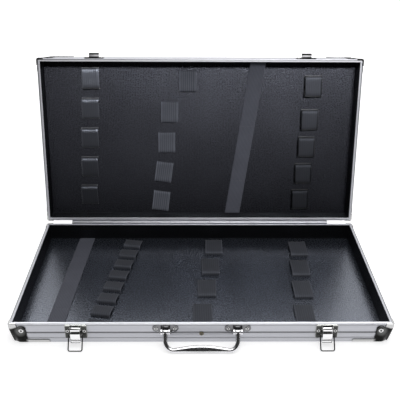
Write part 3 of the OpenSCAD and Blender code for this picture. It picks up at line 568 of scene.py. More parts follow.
print("materials made:", len(paints))

for node, paint in (("hinge_leaf_base", "hinge"), ("hinge_leaf_lid", "hinge"), ("hinge_pin", "dullRivet")):
    nodes[node].data.materials.clear()
    nodes[node].data.materials.append(paints[paint].material)
    if paint == "hinge":
        litFromFront.objects.link(nodes[node])


# Camera and studio

shot = {
    "place": (-0.0107, -0.7379, 0.5218),
    "down": 28.235,     # degrees below the horizon
    "toRight": 0.721,
    "roll": 0.39,
    "lens": 57.72,
    "sensor": 36,
}

studio = {
    "white": (1, 1, 1, 1),
    "roomLight": 0.4,                   # what the room sends onto the object
    "farSide": 0.03,                    # the room behind the camera, as gloss sees it
    "turnsWhite": (0.2, 0.5),           # how far back or up the room turns white
    "glossLift": 0.95,                  # share of the floor's own whiteness in reflections
    "floorColour": (0.6, 0.6, 0.61, 1),
    "farFloor": (0.12, 0.12, 0.13, 1),  # far from the case, as gloss sees it
    "floorLift": (0.66, 0.85),          # near the case and far from it
    "floorLiftFrom": (0.35, 1.3),
    "floorSize": 7.0,
    "lamps": {
        "above": {"place": (0.2, -0.1, 1.5), "aim": (0, 0.02, 0), "size": (1.7, 1.1), "power": 10},
        "front": {"place": (0.4, -1.4, 1.1), "aim": (0.05, 0.15, 0.16), "size": (1.3, 0.35), "power": 27,
                  "lights": litFromFront},
        "sheen": {"place": (0.5, -1.4, 1.42), "aim": (0.28, 0.2, 0.42), "size": (1.0, 0.28), "power": 24,
                  "spread": 20, "lights": litLining},
        "backTop": {"place": (0, 1.1, 1.3), "aim": (0, 0, 0.05), "size": (1.6, 0.7), "power": 7},
    },
}


def putInScene(name, data, columns, place):
    # An object whose axes are the three given columns
    thing = bpy.data.objects.new(name, data)
    bpy.context.scene.collection.objects.link(thing)
    matrix = np.eye(4)
    matrix[:3, :4] = np.stack([*columns, np.array(place)], 1)
    thing.matrix_world = Matrix(matrix)
    return thing


def makeCamera():
    pitch, yaw, roll = (math.radians(shot[key]) for key in ("down", "toRight", "roll"))
    ahead = np.array([math.sin(yaw) * math.cos(pitch), math.cos(yaw) * math.cos(pitch), -math.sin(pitch)])
    level = np.array([math.cos(yaw), -math.sin(yaw), 0])
    upright = np.cross(level, ahead)
    x = math.cos(roll) * level + math.sin(roll) * upright
    y = math.cos(roll) * upright - math.sin(roll) * level
    data = bpy.data.cameras.new("camera")
    data.lens, data.sensor_width = shot["lens"], shot["sensor"]
    bpy.context.scene.camera = putInScene("camera", data, (x, y, -ahead), shot["place"])


def makeWorld():
    # White where the camera and gloss look ahead or up, darker behind the camera, a steady grey for the rest
    world = bpy.data.worlds.new("studioRoom")
    bpy.context.scene.world = world
    world.use_nodes = True
    room = NodeTree(world.node_tree)
    direction = room.node("TexCoord", {}, {}, "Generated")
    ahead, height = room.part(direction, 1), room.part(direction, 2)
    facing = room.clamped(ahead.orMore(1.6 * height - 1.15), *studio["turnsWhite"])
    seenRoom = studio["farSide"] + (1 - studio["farSide"]) * facing
    seen, gloss = room.ray("Camera"), room.ray("Glossy").orMore(room.ray("Transmission"))
    level = seen + gloss * seenRoom + (1 - seen - gloss) * studio["roomLight"]
    light = room.node("Background", {}, {"Color": studio["white"], "Strength": level})
    output = room.tree.nodes.new("ShaderNodeOutputWorld")
    room.tree.links.new(light.socket, output.inputs[0])


def makeLamp(name, look):
    data = bpy.data.lights.new(name, "AREA")
    data.shape = "RECTANGLE"
    data.size, data.size_y = look["size"]
    data.energy = look["power"]
    data.spread = math.radians(look.get("spread", 180))
    aim = unit(np.array(look["aim"], float) - np.array(look["place"], float))
    level = unit(np.cross(aim, up))
    lamp = putInScene(name, data, (level, np.cross(level, aim), -aim), look["place"])
    lamp.light_linking.receiver_collection = look.get("lights")


def makeFloor():
    # A pale floor that keeps the shadow: part of what it shows is its own whiteness
    paint = Paint("paleFloor", {"Specular IOR Level": 0.1, "Emission Strength": 1, "Roughness": 0.9})
    seen, gloss = paint.ray("Camera"), paint.ray("Glossy")
    near, far = studio["floorLift"]
    away = paint.node("VectorMath", {"operation": "LENGTH"}, {0: paint.coordinates()}, 1)
    apart = paint.clamped(away, *studio["floorLiftFrom"])
    lift = seen * (near + (far - near) * apart) + gloss * (studio["glossLift"] * near) * (1 - apart)
    colour = paint.between(gloss * apart, studio["floorColour"], studio["farFloor"])
    glow = paint.between(lift, (0, 0, 0, 1), studio["white"])
    paint.link(BaseColor=colour, EmissionColor=glow)
    half = studio["floorSize"] / 2
    mesh = bpy.data.meshes.new("floor")
    ends = [(x * half, y * half, 0) for x, y in ((-1, -1), (1, -1), (1, 1), (-1, 1))]
    mesh.from_pydata(ends, [], [(0, 1, 2, 3)])
    mesh.materials.append(paint.material)
    putInScene("floor", mesh, np.eye(3), (0, 0, 0))


makeCamera()
makeWorld()
makeFloor()
for lampName, lampLook in studio["lamps"].items():
    makeLamp(lampName, lampLook)
bpy.context.scene.view_settings.view_transform = "Standard"
print("camera and studio made")


# Linings

lining = inMetres(ripple=0.12, fadesOver=12, sunk=0.02, wallThickness=0.8, wallRipple=0.12, cornerRadius=1.2,
                  welt=0.35, longSide=10) | {"columns": 190, "rows": 100, "sideSteps": 60, "seed": 7}


def ripple(x, y, seed, size):
    # A sum of five slow sine waves in seeded directions
    rng = np.random.default_rng(seed)
    total = np.zeros(np.broadcast(x, y).shape)
    drawn = [rng.uniform(*limits, 5) for limits in ((0, np.pi), (0.03, 0.14), (0, 6.28))]
    for angle, length, phase in zip(*drawn):
        total = total + np.sin((x * math.cos(angle) + y * math.sin(angle)) * 2 * np.pi / length + phase)
    return size * total / 5


def floorLining():
    # Height over the tray's floor: a slow ripple that dies out at the edges, on a flat underside
    edge = case["halfFloor"]
    gx, gy = np.meshgrid(np.linspace(-edge[0], edge[0], lining["columns"]),
                         np.linspace(-edge[1], edge[1], lining["rows"]))
    inward = np.clip(np.minimum(edge[0] - abs(gx), edge[1] - abs(gy)) / lining["fadesOver"], 0, 1)
    height = case["floor"] + ripple(gx, gy, lining["seed"], lining["ripple"]) * inward - lining["sunk"]
    top = np.stack([gx, gy, height], -1).reshape(-1, 3)
    rim = rimOf(*gx.shape)
    foot = top[rim] * [1, 1, 0] + [0, 0, case["panelTop"]]
    n, k = len(top), len(rim)
    ring = np.arange(k)
    border = np.stack([rim, n + ring, n + (ring + 1) % k, np.roll(rim, -1)], -1)
    points = np.concatenate([top, foot])
    return shell(points, np.concatenate([gridFaces(*gx.shape), border]), [n + ring], points[:, :2])


def wallLining():
    # One band round the tray: a closed rounded rectangle carries a thin upright section with a rolled foot
    thick, welt, bottom = lining["wallThickness"], lining["welt"], case["floor"]
    top = case["wallHigh"][2] - hair
    outline = roundedBox(*(-2 * (case["wallLow"][:2] + thick)), lining["cornerRadius"], 5)
    following = np.roll(outline, -1, 0)
    steps = np.concatenate([np.linspace(start, stop, lining["sideSteps"], endpoint=False)
                            if np.linalg.norm(stop - start) > lining["longSide"] else start[None]
                            for start, stop in zip(outline, following)])
    path = np.concatenate([steps, np.zeros((len(steps), 1))], 1)
    foot = arc(bottom + welt, welt * 0.2, welt, 130, 40, 5)
    inner = np.concatenate([[[bottom, 0], [bottom, welt * 0.8]], foot,
                            np.stack([np.linspace(bottom + 2.4 * welt, top, 8), np.zeros(8)], -1),
                            [[top, -thick * 0.9], [bottom, -thick * 0.9]]])
    section = np.repeat(inner[None], len(path), 0)
    wave = ripple(path[:, :1] * 1.3, path[:, 1:2] * 1.3 + inner[None, :, 0] * 2, lining["seed"] + 1,
                  lining["wallRipple"])
    section[:, 2:-2, 1] += wave[:, 2:-2]
    band = sweep(path, section, up, closed=True)
    band["uv"] = band["uv"][:, ::-1]
    return band


# The wall cloth is one strip: as long as the way round the tray, as wide as the wall is high
for half, floorPaint, floorSlot in (("base", "floor", "floor_lining"), ("lid", "lidFloor", "lid_lining")):
    cloth = makePiece(half + "FloorLining", [floorLining()], floorPaint, half, floorSlot,
                      half + "_floor_lining")
    cloth = makePiece(half + "WallLining", [wallLining()], "wall", half, "wall_lining", half + "_wall_lining")
print("linings made")


# Rails, panels and boards

corner = inMetres(radius=2.2,
                  drawnIn=4.6,      # how far a case corner is drawn in at the bottom
                  upTo=24, span=13,
                  depth=4.2,        # how far in from the faces it fades out
                  sheet=0.9)


def drawnIn(points):
    # Near an upright edge of the case, points move inwards: more towards the bottom, the edge and the outside
    away = np.array([case["halfWidth"], -case["front"]]) - np.abs(points[..., :2])
    near = np.cos(np.pi / 2 * np.clip(away.max(-1) / corner["span"], 0, 1)) ** 2
    out = np.clip((corner["depth"] - away.min(-1)) / (corner["depth"] + corner["sheet"]), 0, 1)
    low = np.clip(1 - points[..., 2] / corner["upTo"], 0, 1) ** 1.2
    move = corner["drawnIn"] * low * near * out
    return points - np.stack([np.sign(points[..., 0]) * move, np.sign(points[..., 1]) * move, 0 * move], -1)


rail = inMetres(
    landWidth=4.2, lipDrop=1.2,
    bottom=0.1,         # its underside, so that the panel and the protectors' feet lie lowest
    foot=3.4, wall=1.2, shoulder=(1.4, 0.5), rimRadius=0.8, heelRadius=2, edge=0.22,
    grooves=((15.4, 1.1, 0.9), (7.6, 0.6, 0.5)),    # height, half width, depth
    crown=0.25,         # how far each band between the grooves swells
    joint=0.05, step=0.1) | {"cornerSteps": 14}


def railSection():
    # x runs inwards from the outer face and y is the height; the face is bands with grooves between them
    rim, floor, inside = case["rim"], case["floor"], rail["landWidth"]
    low, heel, foot, wall = rail["bottom"], rail["heelRadius"], rail["foot"], rail["wall"]
    edge, crown, step, radius = rail["edge"], rail["crown"], rail["step"], rail["rimRadius"]
    shoulder, drop = rail["shoulder"]
    lip, top = rim - rail["lipDrop"], rim - drop - radius
    parts = [arc(heel, low + heel, heel, 180, 270, 9),
             [[foot, low], [foot, floor], [wall, floor], [wall, lip]],
             arc(inside - edge, lip + edge, edge, -90, 0, 4), arc(inside - edge, rim - edge, edge, 0, 90, 4),
             arc(shoulder + edge, rim - edge, edge, 90, 180, 4), [[shoulder, rim - drop]],
             arc(radius, top, radius, 90, 180, 7)]
    for height, half, deep in rail["grooves"]:
        z = np.linspace(top, height + half + step, 7)[1:]
        swell = crown * np.clip(np.sin(np.pi * (top - z) / (top - z[-1])), 0, 1) ** 0.8
        parts += [np.stack([crown - swell, z], 1),
                  [[crown + step, height + half], [deep, height + half * 0.6],
                   [deep, height - half * 0.6], [crown + step, height - half]]]
        top = height - half - step
    z = np.linspace(top, low + heel, 6)[:-1]
    parts.append(np.stack([crown * (1 - np.sin(np.pi * (top - z) / (top - low - heel))), z], 1))
    return np.concatenate([np.asarray(part, float) for part in parts])


def railShell(sideName):
    # Each point of the outer line is joined to the nearest point of the tray's square mouth
    radius, turned = corner["radius"], sideName in ("left", "right")
    reach, out = (-case["front"], case["halfWidth"]) if turned else (case["halfWidth"], -case["front"])
    turn = np.radians(np.linspace(-45, 0, rail["cornerSteps"])) - math.pi / 2
    bend = np.stack([-(reach - radius) + radius * np.cos(turn), -(out - radius) + radius * np.sin(turn)], 1)
    straight = np.linspace(-(reach - radius), reach - radius, 40)[1:-1]
    outer = np.concatenate([bend, np.stack([straight, 0 * straight - out], 1), (bend * [-1, 1])[::-1]])
    mouth = [reach - rail["landWidth"], out - rail["landWidth"]]
    inner = np.clip(outer, -np.array(mouth), mouth)
    section = railSection()
    share = section[:, 0] / rail["landWidth"]
    flat = outer[:, None] + (inner - outer)[:, None] * share[:, None]
    shorten = np.clip(1 - rail["joint"] / np.maximum(np.abs(flat[..., :1]), mm), 0, 1)
    flat = flat * np.concatenate([shorten, np.ones_like(shorten)], 2)
    a = math.radians({"front": 0, "right": 90, "back": 180, "left": 270}[sideName])
    x = flat[..., 0] * math.cos(a) - flat[..., 1] * math.sin(a)
    y = flat[..., 0] * math.sin(a) + flat[..., 1] * math.cos(a)
    rings = np.stack([x, y, np.broadcast_to(section[:, 1], x.shape)], -1)
    rows, columns = x.shape
    run = runAlong(section)
    land = run[np.argmax(section[:, 1] > case["rim"] - 1e-6)]
    uv = np.stack([flat[..., 0], np.broadcast_to(run - land, x.shape)], -1)
    ends = [np.arange(columns), (rows - 1) * columns + np.arange(columns)]
    return shell(drawnIn(rings), gridFaces(rows, columns, False, True), ends, uv)


def panelShell():
    # A flat plate whose corners are drawn in with the rails'
    x, y = (np.linspace(-edge, edge, count) for edge, count in zip(case["halfFloor"], (70, 40)))
    gx, gy = np.meshgrid(x, y)
    layers = [np.stack([gx, gy, np.full_like(gx, z)], -1) for z in (0, case["panelTop"] - hair)]
    return plate(*(drawnIn(layer) for layer in layers), layers[0][..., :2])


def boardsShell():
    # A rectangular ring of boards round the tray, its corners drawn in with the rails'
    low, high = corners("base_side_boards")
    inside = case["wallHigh"][:2] + 0.1 * mm
    share = np.concatenate([np.linspace(-1, 1, 60, endpoint=False), np.ones(40)])
    way = np.stack([share, np.concatenate([-np.ones(60), np.linspace(-1, 1, 40, endpoint=False)])], 1)
    way = np.concatenate([way, -way])
    section = [(high[:2], low[2]), (high[:2], high[2]), (inside, high[2]), (inside, low[2])]
    rings = np.stack([np.concatenate([way * reach, np.full((len(way), 1), z)], 1) for reach, z in section], 1)
    uv = np.stack([rings[..., 0] + rings[..., 1], rings[..., 2]], -1)
    return shell(drawnIn(rings), gridFaces(len(way), 4, True, True), (), uv)


for half in halves:
    kinds = {"front": half.capitalize(), "back": "Back", "left": "Side", "right": "Side"}
    for sideName, kind in kinds.items():
        makePiece(half + "Rail" + sideName.capitalize(), [railShell(sideName)], "rail" + kind, half, "rail",
                  half + "_" + sideName + "_rail", smoothTo=32)
print("rails made")
for half in halves:
    makePiece(half + "Panel", [panelShell()], "panel", half, "panel", half + "_panel")
print("panels made")
for half in halves:
    makePiece(half + "SideBoards", [boardsShell()], "board", half, "board", half + "_side_boards")
print("boards made")


# Corner protectors: a sheet bent round a corner, cut to an outline with a lobe and two low arms

guard = inMetres(
    sheet=0.9, arm=48, armHeight=5.2, plate=20.7,
    lobe=(14.8, 18.8, 6.2),     # its middle from the corner, its height, its radius
    plateEnds=9.4,              # where the full height ends, from the corner
    soft=0.25, heelRadius=2, lip=1.4, foot=3.3, edge=0.25) | {"rows": 30, "armSteps": 90, "cornerSteps": 20}


def guardHeight(a):
    # How high the sheet reaches at a distance from the corner: full height, then the lobe, then the low arm
    middle, height, radius = guard["lobe"]
    lobe = height + np.sqrt(np.clip(radius ** 2 - (a - middle) ** 2, 0, None))
    end = guard["armHeight"] / 2
    beyond = np.clip(a - (guard["arm"] - end), 0, end)
    arm = end + np.sqrt(np.clip(end ** 2 - beyond ** 2, 0, None))

    def before(place):
        return 0.5 - 0.5 * np.tanh((a - place) / guard["soft"])
    onPlate = lobe * before(guard["plate"]) + arm * (1 - before(guard["plate"]))
    return onPlate + (case["rim"] + 2 * guard["lip"] - onPlate) * before(guard["plateEnds"])


def guardShell(signX, signY):
    # Columns run along an arm, round the corner and along the other; each climbs the section to its height
    t, heel, foot = guard["sheet"], guard["heelRadius"], guard["foot"]
    rim, radius = case["rim"], corner["radius"]
    section = np.concatenate([[[foot, 0]], arc(heel, heel + t, heel + t, -90, -180, 10), [[-t, rim - t]],
                              arc(0, rim - t, t, 180, 90, 7)[1:], [[guard["lip"], rim]]])
    run = runAlong(section)
    a = np.linspace(guard["arm"], radius, guard["armSteps"])
    turn = np.linspace(0, np.pi / 2, guard["cornerSteps"])[1:-1]
    away = np.concatenate([a, 0 * turn, a[::-1]])
    outer = np.concatenate([np.stack([a, 0 * a - t], 1),
                            radius - (radius + t) * np.stack([np.sin(turn), np.cos(turn)], 1),
                            np.stack([0 * a - t, a[::-1]], 1)])
    inner = np.maximum(outer, foot)
    height = guardHeight(away)
    stop = np.where(height < rim, np.interp(height, section[:-1, 1], run[:-1]), run[-1])
    climbed = np.linspace(0, 1, guard["rows"])[:, None] * stop
    share = np.minimum((np.interp(climbed, run, section[:, 0])[..., None] + t) / (foot + t), 0.96)
    flat = (outer + (inner - outer) * share - [case["halfWidth"], -case["front"]]) * [-signX, -signY]
    z = np.interp(climbed, run, section[:, 1])[..., None]
    grid = drawnIn(np.concatenate([flat, z], 2))
    normal = unit(np.cross(np.gradient(grid, axis=0), np.gradient(grid, axis=1)))
    uv = np.concatenate([np.broadcast_to(away[None, :, None], z.shape), z], 2)
    return plate(grid, grid - normal * (t * signX * signY), uv)


for half in halves:
    for signX, signY, x, y in ((-1, -1, "Left", "Front"), (1, -1, "Right", "Front"), (-1, 1, "Left", "Back"),
                               (1, 1, "Right", "Back")):
        makePiece(half + "Corner" + y + x, [guardShell(signX, signY)], "guard", half, "protector",
                  (half + "_corner_" + y + "_" + x).lower(), guard["edge"])
print("protectors made")


# Webbing: tool loops and two long straps

webbing = inMetres(width=25, thickness=1, crown=0.25, lean=0.7, sag=0.5, curl=0.5,
                   sunk=0.4,    # how far the sewn ends go into the lining
                   flatRise=3.2) | {
    "square": 5.0,              # how boxy an arch is
    "across": 9,                # points over the width
    "along": 44,
    "columns": {
        "base_loops_left": {"count": 8, "run": 21 * mm, "turn": -9, "turnFrom": 0, "flatFrom": 7,
                            "skew": [0.5] * 8},
        "base_loops_middle": {"count": 4, "run": 37 * mm, "flatFrom": 3},
        "base_loops_right": {"count": 4, "run": 37 * mm, "flatFrom": 3},
        "lid_loops_left": {"count": 5, "run": 31 * mm, "skew": (0, 0.7, 0.75, 0.8, 0.85),
                           "paint": "webbingSatin"},
        "lid_loops_middle": {"count": 5, "run": 31 * mm, "turn": 8, "turnFrom": 3, "startShift": (22 * mm, 0),
                             "paint": "webbingLid"},
        "lid_loops_right": {"count": 5, "run": 31 * mm, "startShift": (0, -8 * mm), "paint": "webbingDim"},
    },
}


def bandSection(width, thickness, crown, count):
    # Top and bottom edges of a flat band with round selvedges, both raised by a crown in the middle
    x = np.linspace(-1, 1, count)
    half = width / 2 - thickness / 2
    top = np.stack([x * half, crown * (1 - x ** 2) + thickness / 2], -1)
    rounds = arc(0, 0, thickness / 2, 90, -90, 5)[1:-1]
    return np.concatenate([top, rounds + [half, 0], (top - [0, thickness])[::-1],
                           rounds[::-1] * [-1, 1] - [half, 0]])


def loopPlaces(node, look):
    # A column's first and last loop fill the ends of its node's box; the others stand evenly between
    points = halfPoints(node)
    low, high = points.min(0), points.max(0)
    turns = np.where(np.arange(look["count"]) >= look.get("turnFrom", 99), look.get("turn", 0), 0)
    a = np.radians(np.abs(turns))[[0, -1], None]
    reach = np.concatenate([webbing["width"] * np.cos(a) + look["run"] * np.sin(a),
                            look["run"] * np.cos(a) + webbing["width"] * np.sin(a)], 1) / 2
    shift = np.array(look.get("startShift", (0, 0)))
    if node.startswith("base"):
        first, last = high[:2] - reach[0], low[:2] + reach[1]
    else:
        first = np.array([high[0] - reach[0, 0], low[1] + reach[0, 1]])
        last = np.array([low[0] + reach[1, 0], high[1] - reach[1, 1]])
    share = np.linspace(0, 1, look["count"])[:, None]
    places = (first - shift) * (1 - share) + last * share
    places[0] += shift
    return places, turns, high[2] - case["floor"]


def loopShell(place, turn, run, rise, skew, rng):
    # An arch on a superellipse that falls off to its far end, and leans and sags a little in its own way
    t = np.linspace(np.pi, 0, 400)
    power, thick = 2 / webbing["square"], webbing["thickness"]
    top = rise - thick / 2 - rng.uniform(0, 0.3) * mm
    along = (run - thick) / 2 * np.sign(np.cos(t)) * np.abs(np.cos(t)) ** power
    fall = 1 - skew * np.clip(along / run + 0.3, 0, 1)
    height = (top + webbing["sunk"]) * fall * np.sin(t) ** power - webbing["sunk"]
    flat = evenly(np.stack([along, height], 1), webbing["along"])
    share = np.clip(flat[:, 1] / top, 0, 1)
    flat[:, 0] += rng.uniform(-1, 1) * webbing["lean"] * share * np.cos(np.pi * flat[:, 0] / run)
    flat[:, 1] -= rng.uniform(0.2, 1) * webbing["sag"] * share * np.cos(np.pi * flat[:, 0] / run) ** 2
    a = math.radians(turn + rng.uniform(-1.2, 1.2))
    side, ahead = np.array([math.cos(a), math.sin(a), 0]), np.array([-math.sin(a), math.cos(a), 0])
    path = np.array([place[0], place[1], case["floor"]]) + flat[:, :1] * ahead + flat[:, 1:] * up
    section = bandSection(webbing["width"], thick, -webbing["crown"], webbing["across"])
    section = np.repeat(section[None], len(path), 0)
    swell = np.sin(np.pi * np.linspace(0, 1, len(path)))[:, None] ** 2
    lift = rng.uniform(-1, 1, 2) * webbing["curl"] * swell
    across = section[..., 0] / webbing["width"]
    section[..., 1] += lift[:, :1] * across + lift[:, 1:] * across ** 2
    return sweep(path, section, side)


for index, (node, look) in enumerate(webbing["columns"].items()):
    rng = np.random.default_rng(20 + index)
    half, _, column = node.split("_")
    places, turns, rise = loopPlaces(node, look)
    rises = [webbing["flatRise"] if i >= look.get("flatFrom", 99) else rise for i in range(look["count"])]
    skews = look.get("skew", [0] * look["count"])
    loops = [loopShell(place, turn, look["run"], each, skew, rng)
             for place, turn, each, skew in zip(places, turns, rises, skews)]
    bands = makePiece(half + "Loops" + column.capitalize(), loops, look.get("paint", "webbing"), half,
                      "webbing", node)
    # Each band is cut as long as its run and its two ends that stand up, the far one lower by its skew
    cut = sum(look["run"] + (2 - skew) * (each + webbing["sunk"]) for each, skew in zip(rises, skews))
print("tool loops made")

strap = inMetres(
    width=22.5, thickness=1, crown=0.2,
    bulge=0.5,          # how far it stands off the lining between its stitches
    base_strap=(-60, 2, 62), lid_strap=(-20, 64),       # where each is stitched
    stitchLong=2, stitchGap=0.7, thread=0.22) | {"along": 160}


def stitchRow(start, stop, normal):
    # Thread along a line: short arcs that rise from the cloth and dive back, each a small closed tube
    long, thread = strap["stitchLong"], strap["thread"]
    length = np.linalg.norm(stop - start)
    ahead = (stop - start) / length
    count = max(1, int(length / (long + strap["stitchGap"])))
    firsts = (np.arange(count) + 0.5) * length / count
    t = np.linspace(-1, 1, 7)
    spine = (start + firsts[:, None, None] * ahead + t[None, :, None] * long / 2 * ahead
             + (0.9 * thread * (1 - 2.4 * t ** 4))[None, :, None] * normal)
    turn = np.linspace(0, 2 * np.pi, 8, endpoint=False)
    ring = thread * (np.cos(turn)[:, None] * np.cross(ahead, normal) + np.sin(turn)[:, None] * normal)
    points = spine[:, :, None] + ring * np.where(abs(t) > 0.99, 0.4, 1.0)[None, :, None, None]
    quads = (gridFaces(7, 8, False, True)[None] + np.arange(count)[:, None, None] * 56).reshape(-1, 4)
    caps = [k * 56 + end * 48 + np.arange(8) for k in range(count) for end in (0, 1)]
    uv = np.stack(np.broadcast_arrays((t * long / 2)[None, :, None], (turn * thread)[None, None, :],
                                      np.zeros((count, 1, 1)))[:2], -1)
    return shell(points, quads, caps, uv)


def strapShape(node):
    # Where a strap's middle runs at a given distance from the middle of the case, and how high it lies there
    points = halfPoints(node)
    near, far = points[points[:, 1] < 0], points[points[:, 1] > 0]
    y = np.array([points[:, 1].min(), points[:, 1].max()])
    x = np.array([(end[:, 0].min() + end[:, 0].max()) / 2 for end in (near, far)])
    stops = np.array([y[0], *strap[node], y[1]])

    def middle(at):
        share = np.interp(at, stops, np.arange(len(stops))) % 1
        bulge = strap["bulge"] * np.sin(np.pi * share) ** 0.7
        return np.stack([np.interp(at, y, x), at, case["floor"] + strap["thickness"] * 0.42 + bulge], -1)
    return y, middle


for half in halves:
    node = half + "_strap"
    ends, middle = strapShape(node)
    section = bandSection(strap["width"], strap["thickness"], strap["crown"], 11)
    band = sweep(middle(np.linspace(*ends, strap["along"])), section, right)
    band = makePiece(half + "LongStrap", [band], "strap", half, "webbing", node)
    cut = float(np.linalg.norm(np.diff(middle(ends), axis=0)))
    aside, above = 0.46 * strap["width"] * right, 0.55 * strap["thickness"] * up
    seams = middle(np.array(strap[node])) + above
    rows = [stitchRow(seam - aside, seam + aside, up) for seam in seams]
    stitches = makePiece(half + "StrapStitches", rows, "thread", half, "webbing")
print("straps made")


# Handle, bails and levers

def turnedAbout(points, pivot, degrees):
    # Points drawn hanging straight down from the x axis, turned about it and put on their pivot
    a = math.radians(degrees)
    c, s = math.cos(a), math.sin(a)
    return pivot + np.stack([points[..., 0], points[..., 1] * c - points[..., 2] * s,
                             points[..., 1] * s + points[..., 2] * c], -1)


handle = inMetres(legWidth=5.6, thickness=5.6, gripWidth=9.2, gripThickness=4.4, bend=13, barrelHalf=3.3,
                  pinRadius=1.2, reach=24.4, overTable=0.1, gripOver=1, barPlay=0.2) | {
    "lean": 0.12,               # how boxy the grip is
    "steps": 150,
}


def handleShells():
    # A tube along a U, whose section swells inwards and flattens in the grip, and a barrel at each end
    pivot, radius, h = pivotOf("handle_swing"), handle["legWidth"] / 2, handle["barrelHalf"]
    halfSpan = corners("carry_handle")[1][0] - h
    turn, bar = handle["bend"] - radius, radius - handle["reach"]
    line = np.concatenate([[[halfSpan, 0]], arc(halfSpan - turn, bar + turn, turn, 0, -90, 14)])
    flat = evenly(mirrored(line), handle["steps"])
    path = np.stack([flat[:, 0], flat[:, 1], 0 * flat[:, 0]], 1)
    level = halfSpan - turn
    grip = np.clip((level + handle["gripOver"] - np.abs(path[:, 0])) / (2 * level), 0, 0.5)
    grip = np.where(path[:, 1] < bar + handle["barPlay"], np.sin(np.pi * grip) ** 1.2, 0)[:, None]
    t = np.linspace(0, 2 * np.pi, 28, endpoint=False)[None]
    power = 1 - handle["lean"] * grip
    thick = (handle["thickness"] * (1 - grip) + handle["gripThickness"] * grip) / 2
    deep = (handle["legWidth"] + (handle["gripWidth"] - handle["legWidth"]) * grip) / 2
    x, y = (np.sign(wave) * np.abs(wave) ** power for wave in (np.cos(t), np.sin(t)))
    tube = sweep(path, np.stack([x * thick, y * deep - (deep - radius)], -1), up)
    slope = math.degrees(math.asin((pivot[2] - radius - handle["overTable"]) / (handle["reach"] - radius)))
    tube["points"] = turnedAbout(tube["points"], pivot, slope)
    r, pin = radius + hair, handle["pinRadius"]
    rounded = inMetres(back=(0.5, 0.15, 0), along=(0, 0.12, 0.45))
    edge = [[r - inward, h - down] for inward, down in zip(rounded["back"], rounded["along"])]
    profile = [[pin, -h]] + [[x, -z] for x, z in edge] + edge[::-1] + [[pin, h], [pin, -h]]
    return [tube] + [spun(profile, np.array([side * halfSpan, *pivot[1:]]), right, 36) for side in (-1, 1)]


makePiece("carryHandle", handleShells(), "handle", "handle", "latch_and_handle", "carry_handle")

bail = inMetres(wire=0.8, width=16.4, length=19, turn=2, elbow=1.3, tail=4, overTable=0.1) | {"steps": 90}


def bailShell(side):
    # A wire bent in one plane: a tail in the lever, an elbow, a leg, a bend and half the cross bar, mirrored
    half, leg, elbow, turn = bail["width"] / 2, bail["length"], bail["elbow"], bail["turn"]
    line = np.concatenate([[[half - bail["tail"], 0]], arc(half - elbow, -elbow, elbow, 90, 0, 7),
                           arc(half - turn, -leg + turn, turn, 0, -90, 9)])
    line = evenly(mirrored(line), bail["steps"])
    path = np.stack([line[:, 0], 0 * line[:, 0], line[:, 1]], 1)
    wire = sweep(path, arc(0, 0, bail["wire"], 0, 360 * (1 - 1 / 14), 14), back)
    pivot = pivotOf("bail_" + side + "_swing")
    slope = math.degrees(math.acos((pivot[2] - bail["wire"] - bail["overTable"]) / leg))
    wire["points"] = turnedAbout(wire["points"], pivot, -slope)
    return wire


for side in sides:
    makePiece("latchBail" + side.capitalize(), [bailShell(side)], "wire", "bail_" + side, "wire",
              "latch_bail_" + side)

lever = inMetres(
    widthAtTop=11, widthAtTip=12, thickness=0.9, barrel=2.4, length=20, curl=0.6, cheek=0.8, cheekLow=9.7,
    cheekEnd=1.1, cheekTop=0.6, cheekBack=(1.6, -3.2), cheekFoot=0.7, cheekWaist=(-0.5, -4.6), cheekIn=0.3,
    curlAt=(0.1, -0.15),
    bows=((0.1, 1.2), (0.8, 3.1), (1.5, 4.9), (1.65, 5.6), (1.65, 9), (1.5, 12.2), (1.4, 13.3), (2.0, 14.8),
          (2.05, 16.2)),        # out from the barrel, down
) | {"steps": 70}


def leverShells(side):
    # One sheet rolled round the pin, drawn down the front and curled out at the tip, with a cheek each side
    sheet, low, end = lever["thickness"], lever["cheekLow"], lever["cheekEnd"]
    mid = lever["barrel"] - sheet / 2
    face = np.array([[-mid - out, -drop] for out, drop in lever["bows"]])
    curlX, curlZ = face[-1] + lever["curlAt"]
    curl = arc(curlX, curlZ - lever["curl"], lever["curl"], 110, 290, 8)
    line = evenly(np.concatenate([arc(0, 0, mid, -60, 180, 22), face, curl[1:]]), lever["steps"])
    path = np.stack([0 * line[:, 0], line[:, 0], line[:, 1]], 1)
    share = np.clip(-line[:, 1] / lever["length"], 0, 1)[:, None, None]
    wide = lever["widthAtTop"] * (1 - share) + lever["widthAtTip"] * share
    section = roundedBox(1, 1, 0.35, 4)[None] * np.concatenate([wide, 0 * wide + sheet], 2)
    shells = [sweep(path, section, right)]
    top, foot, (waist, waistLow) = lever["cheekTop"], lever["cheekFoot"], lever["cheekWaist"]
    outline = np.concatenate([[[mid * 0.7, -top], lever["cheekBack"]], arc(foot, -low + end, end, 0, -90, 5),
                              [[-mid - foot, -low], [-mid + waist, waistLow], [-mid * 0.9, -top]]])
    for edge in (-1, 1):
        place = np.array([edge * (lever["widthAtTop"] / 2 - lever["cheekIn"]), 0, 0])
        shells.append(stamped(outline, place, back, up, lever["cheek"]))
    for part in shells:
        part["points"] = part["points"] + pivotOf("lever_" + side + "_lift")
    return shells


for side in sides:
    makePiece("latchLever" + side.capitalize(), leverShells(side), "lever", "lever_" + side,
              "latch_and_handle", "latch_lever_" + side)
print("handle, bails and levers made")


# Plates: brackets with lugs, latch plates with ears, and keepers

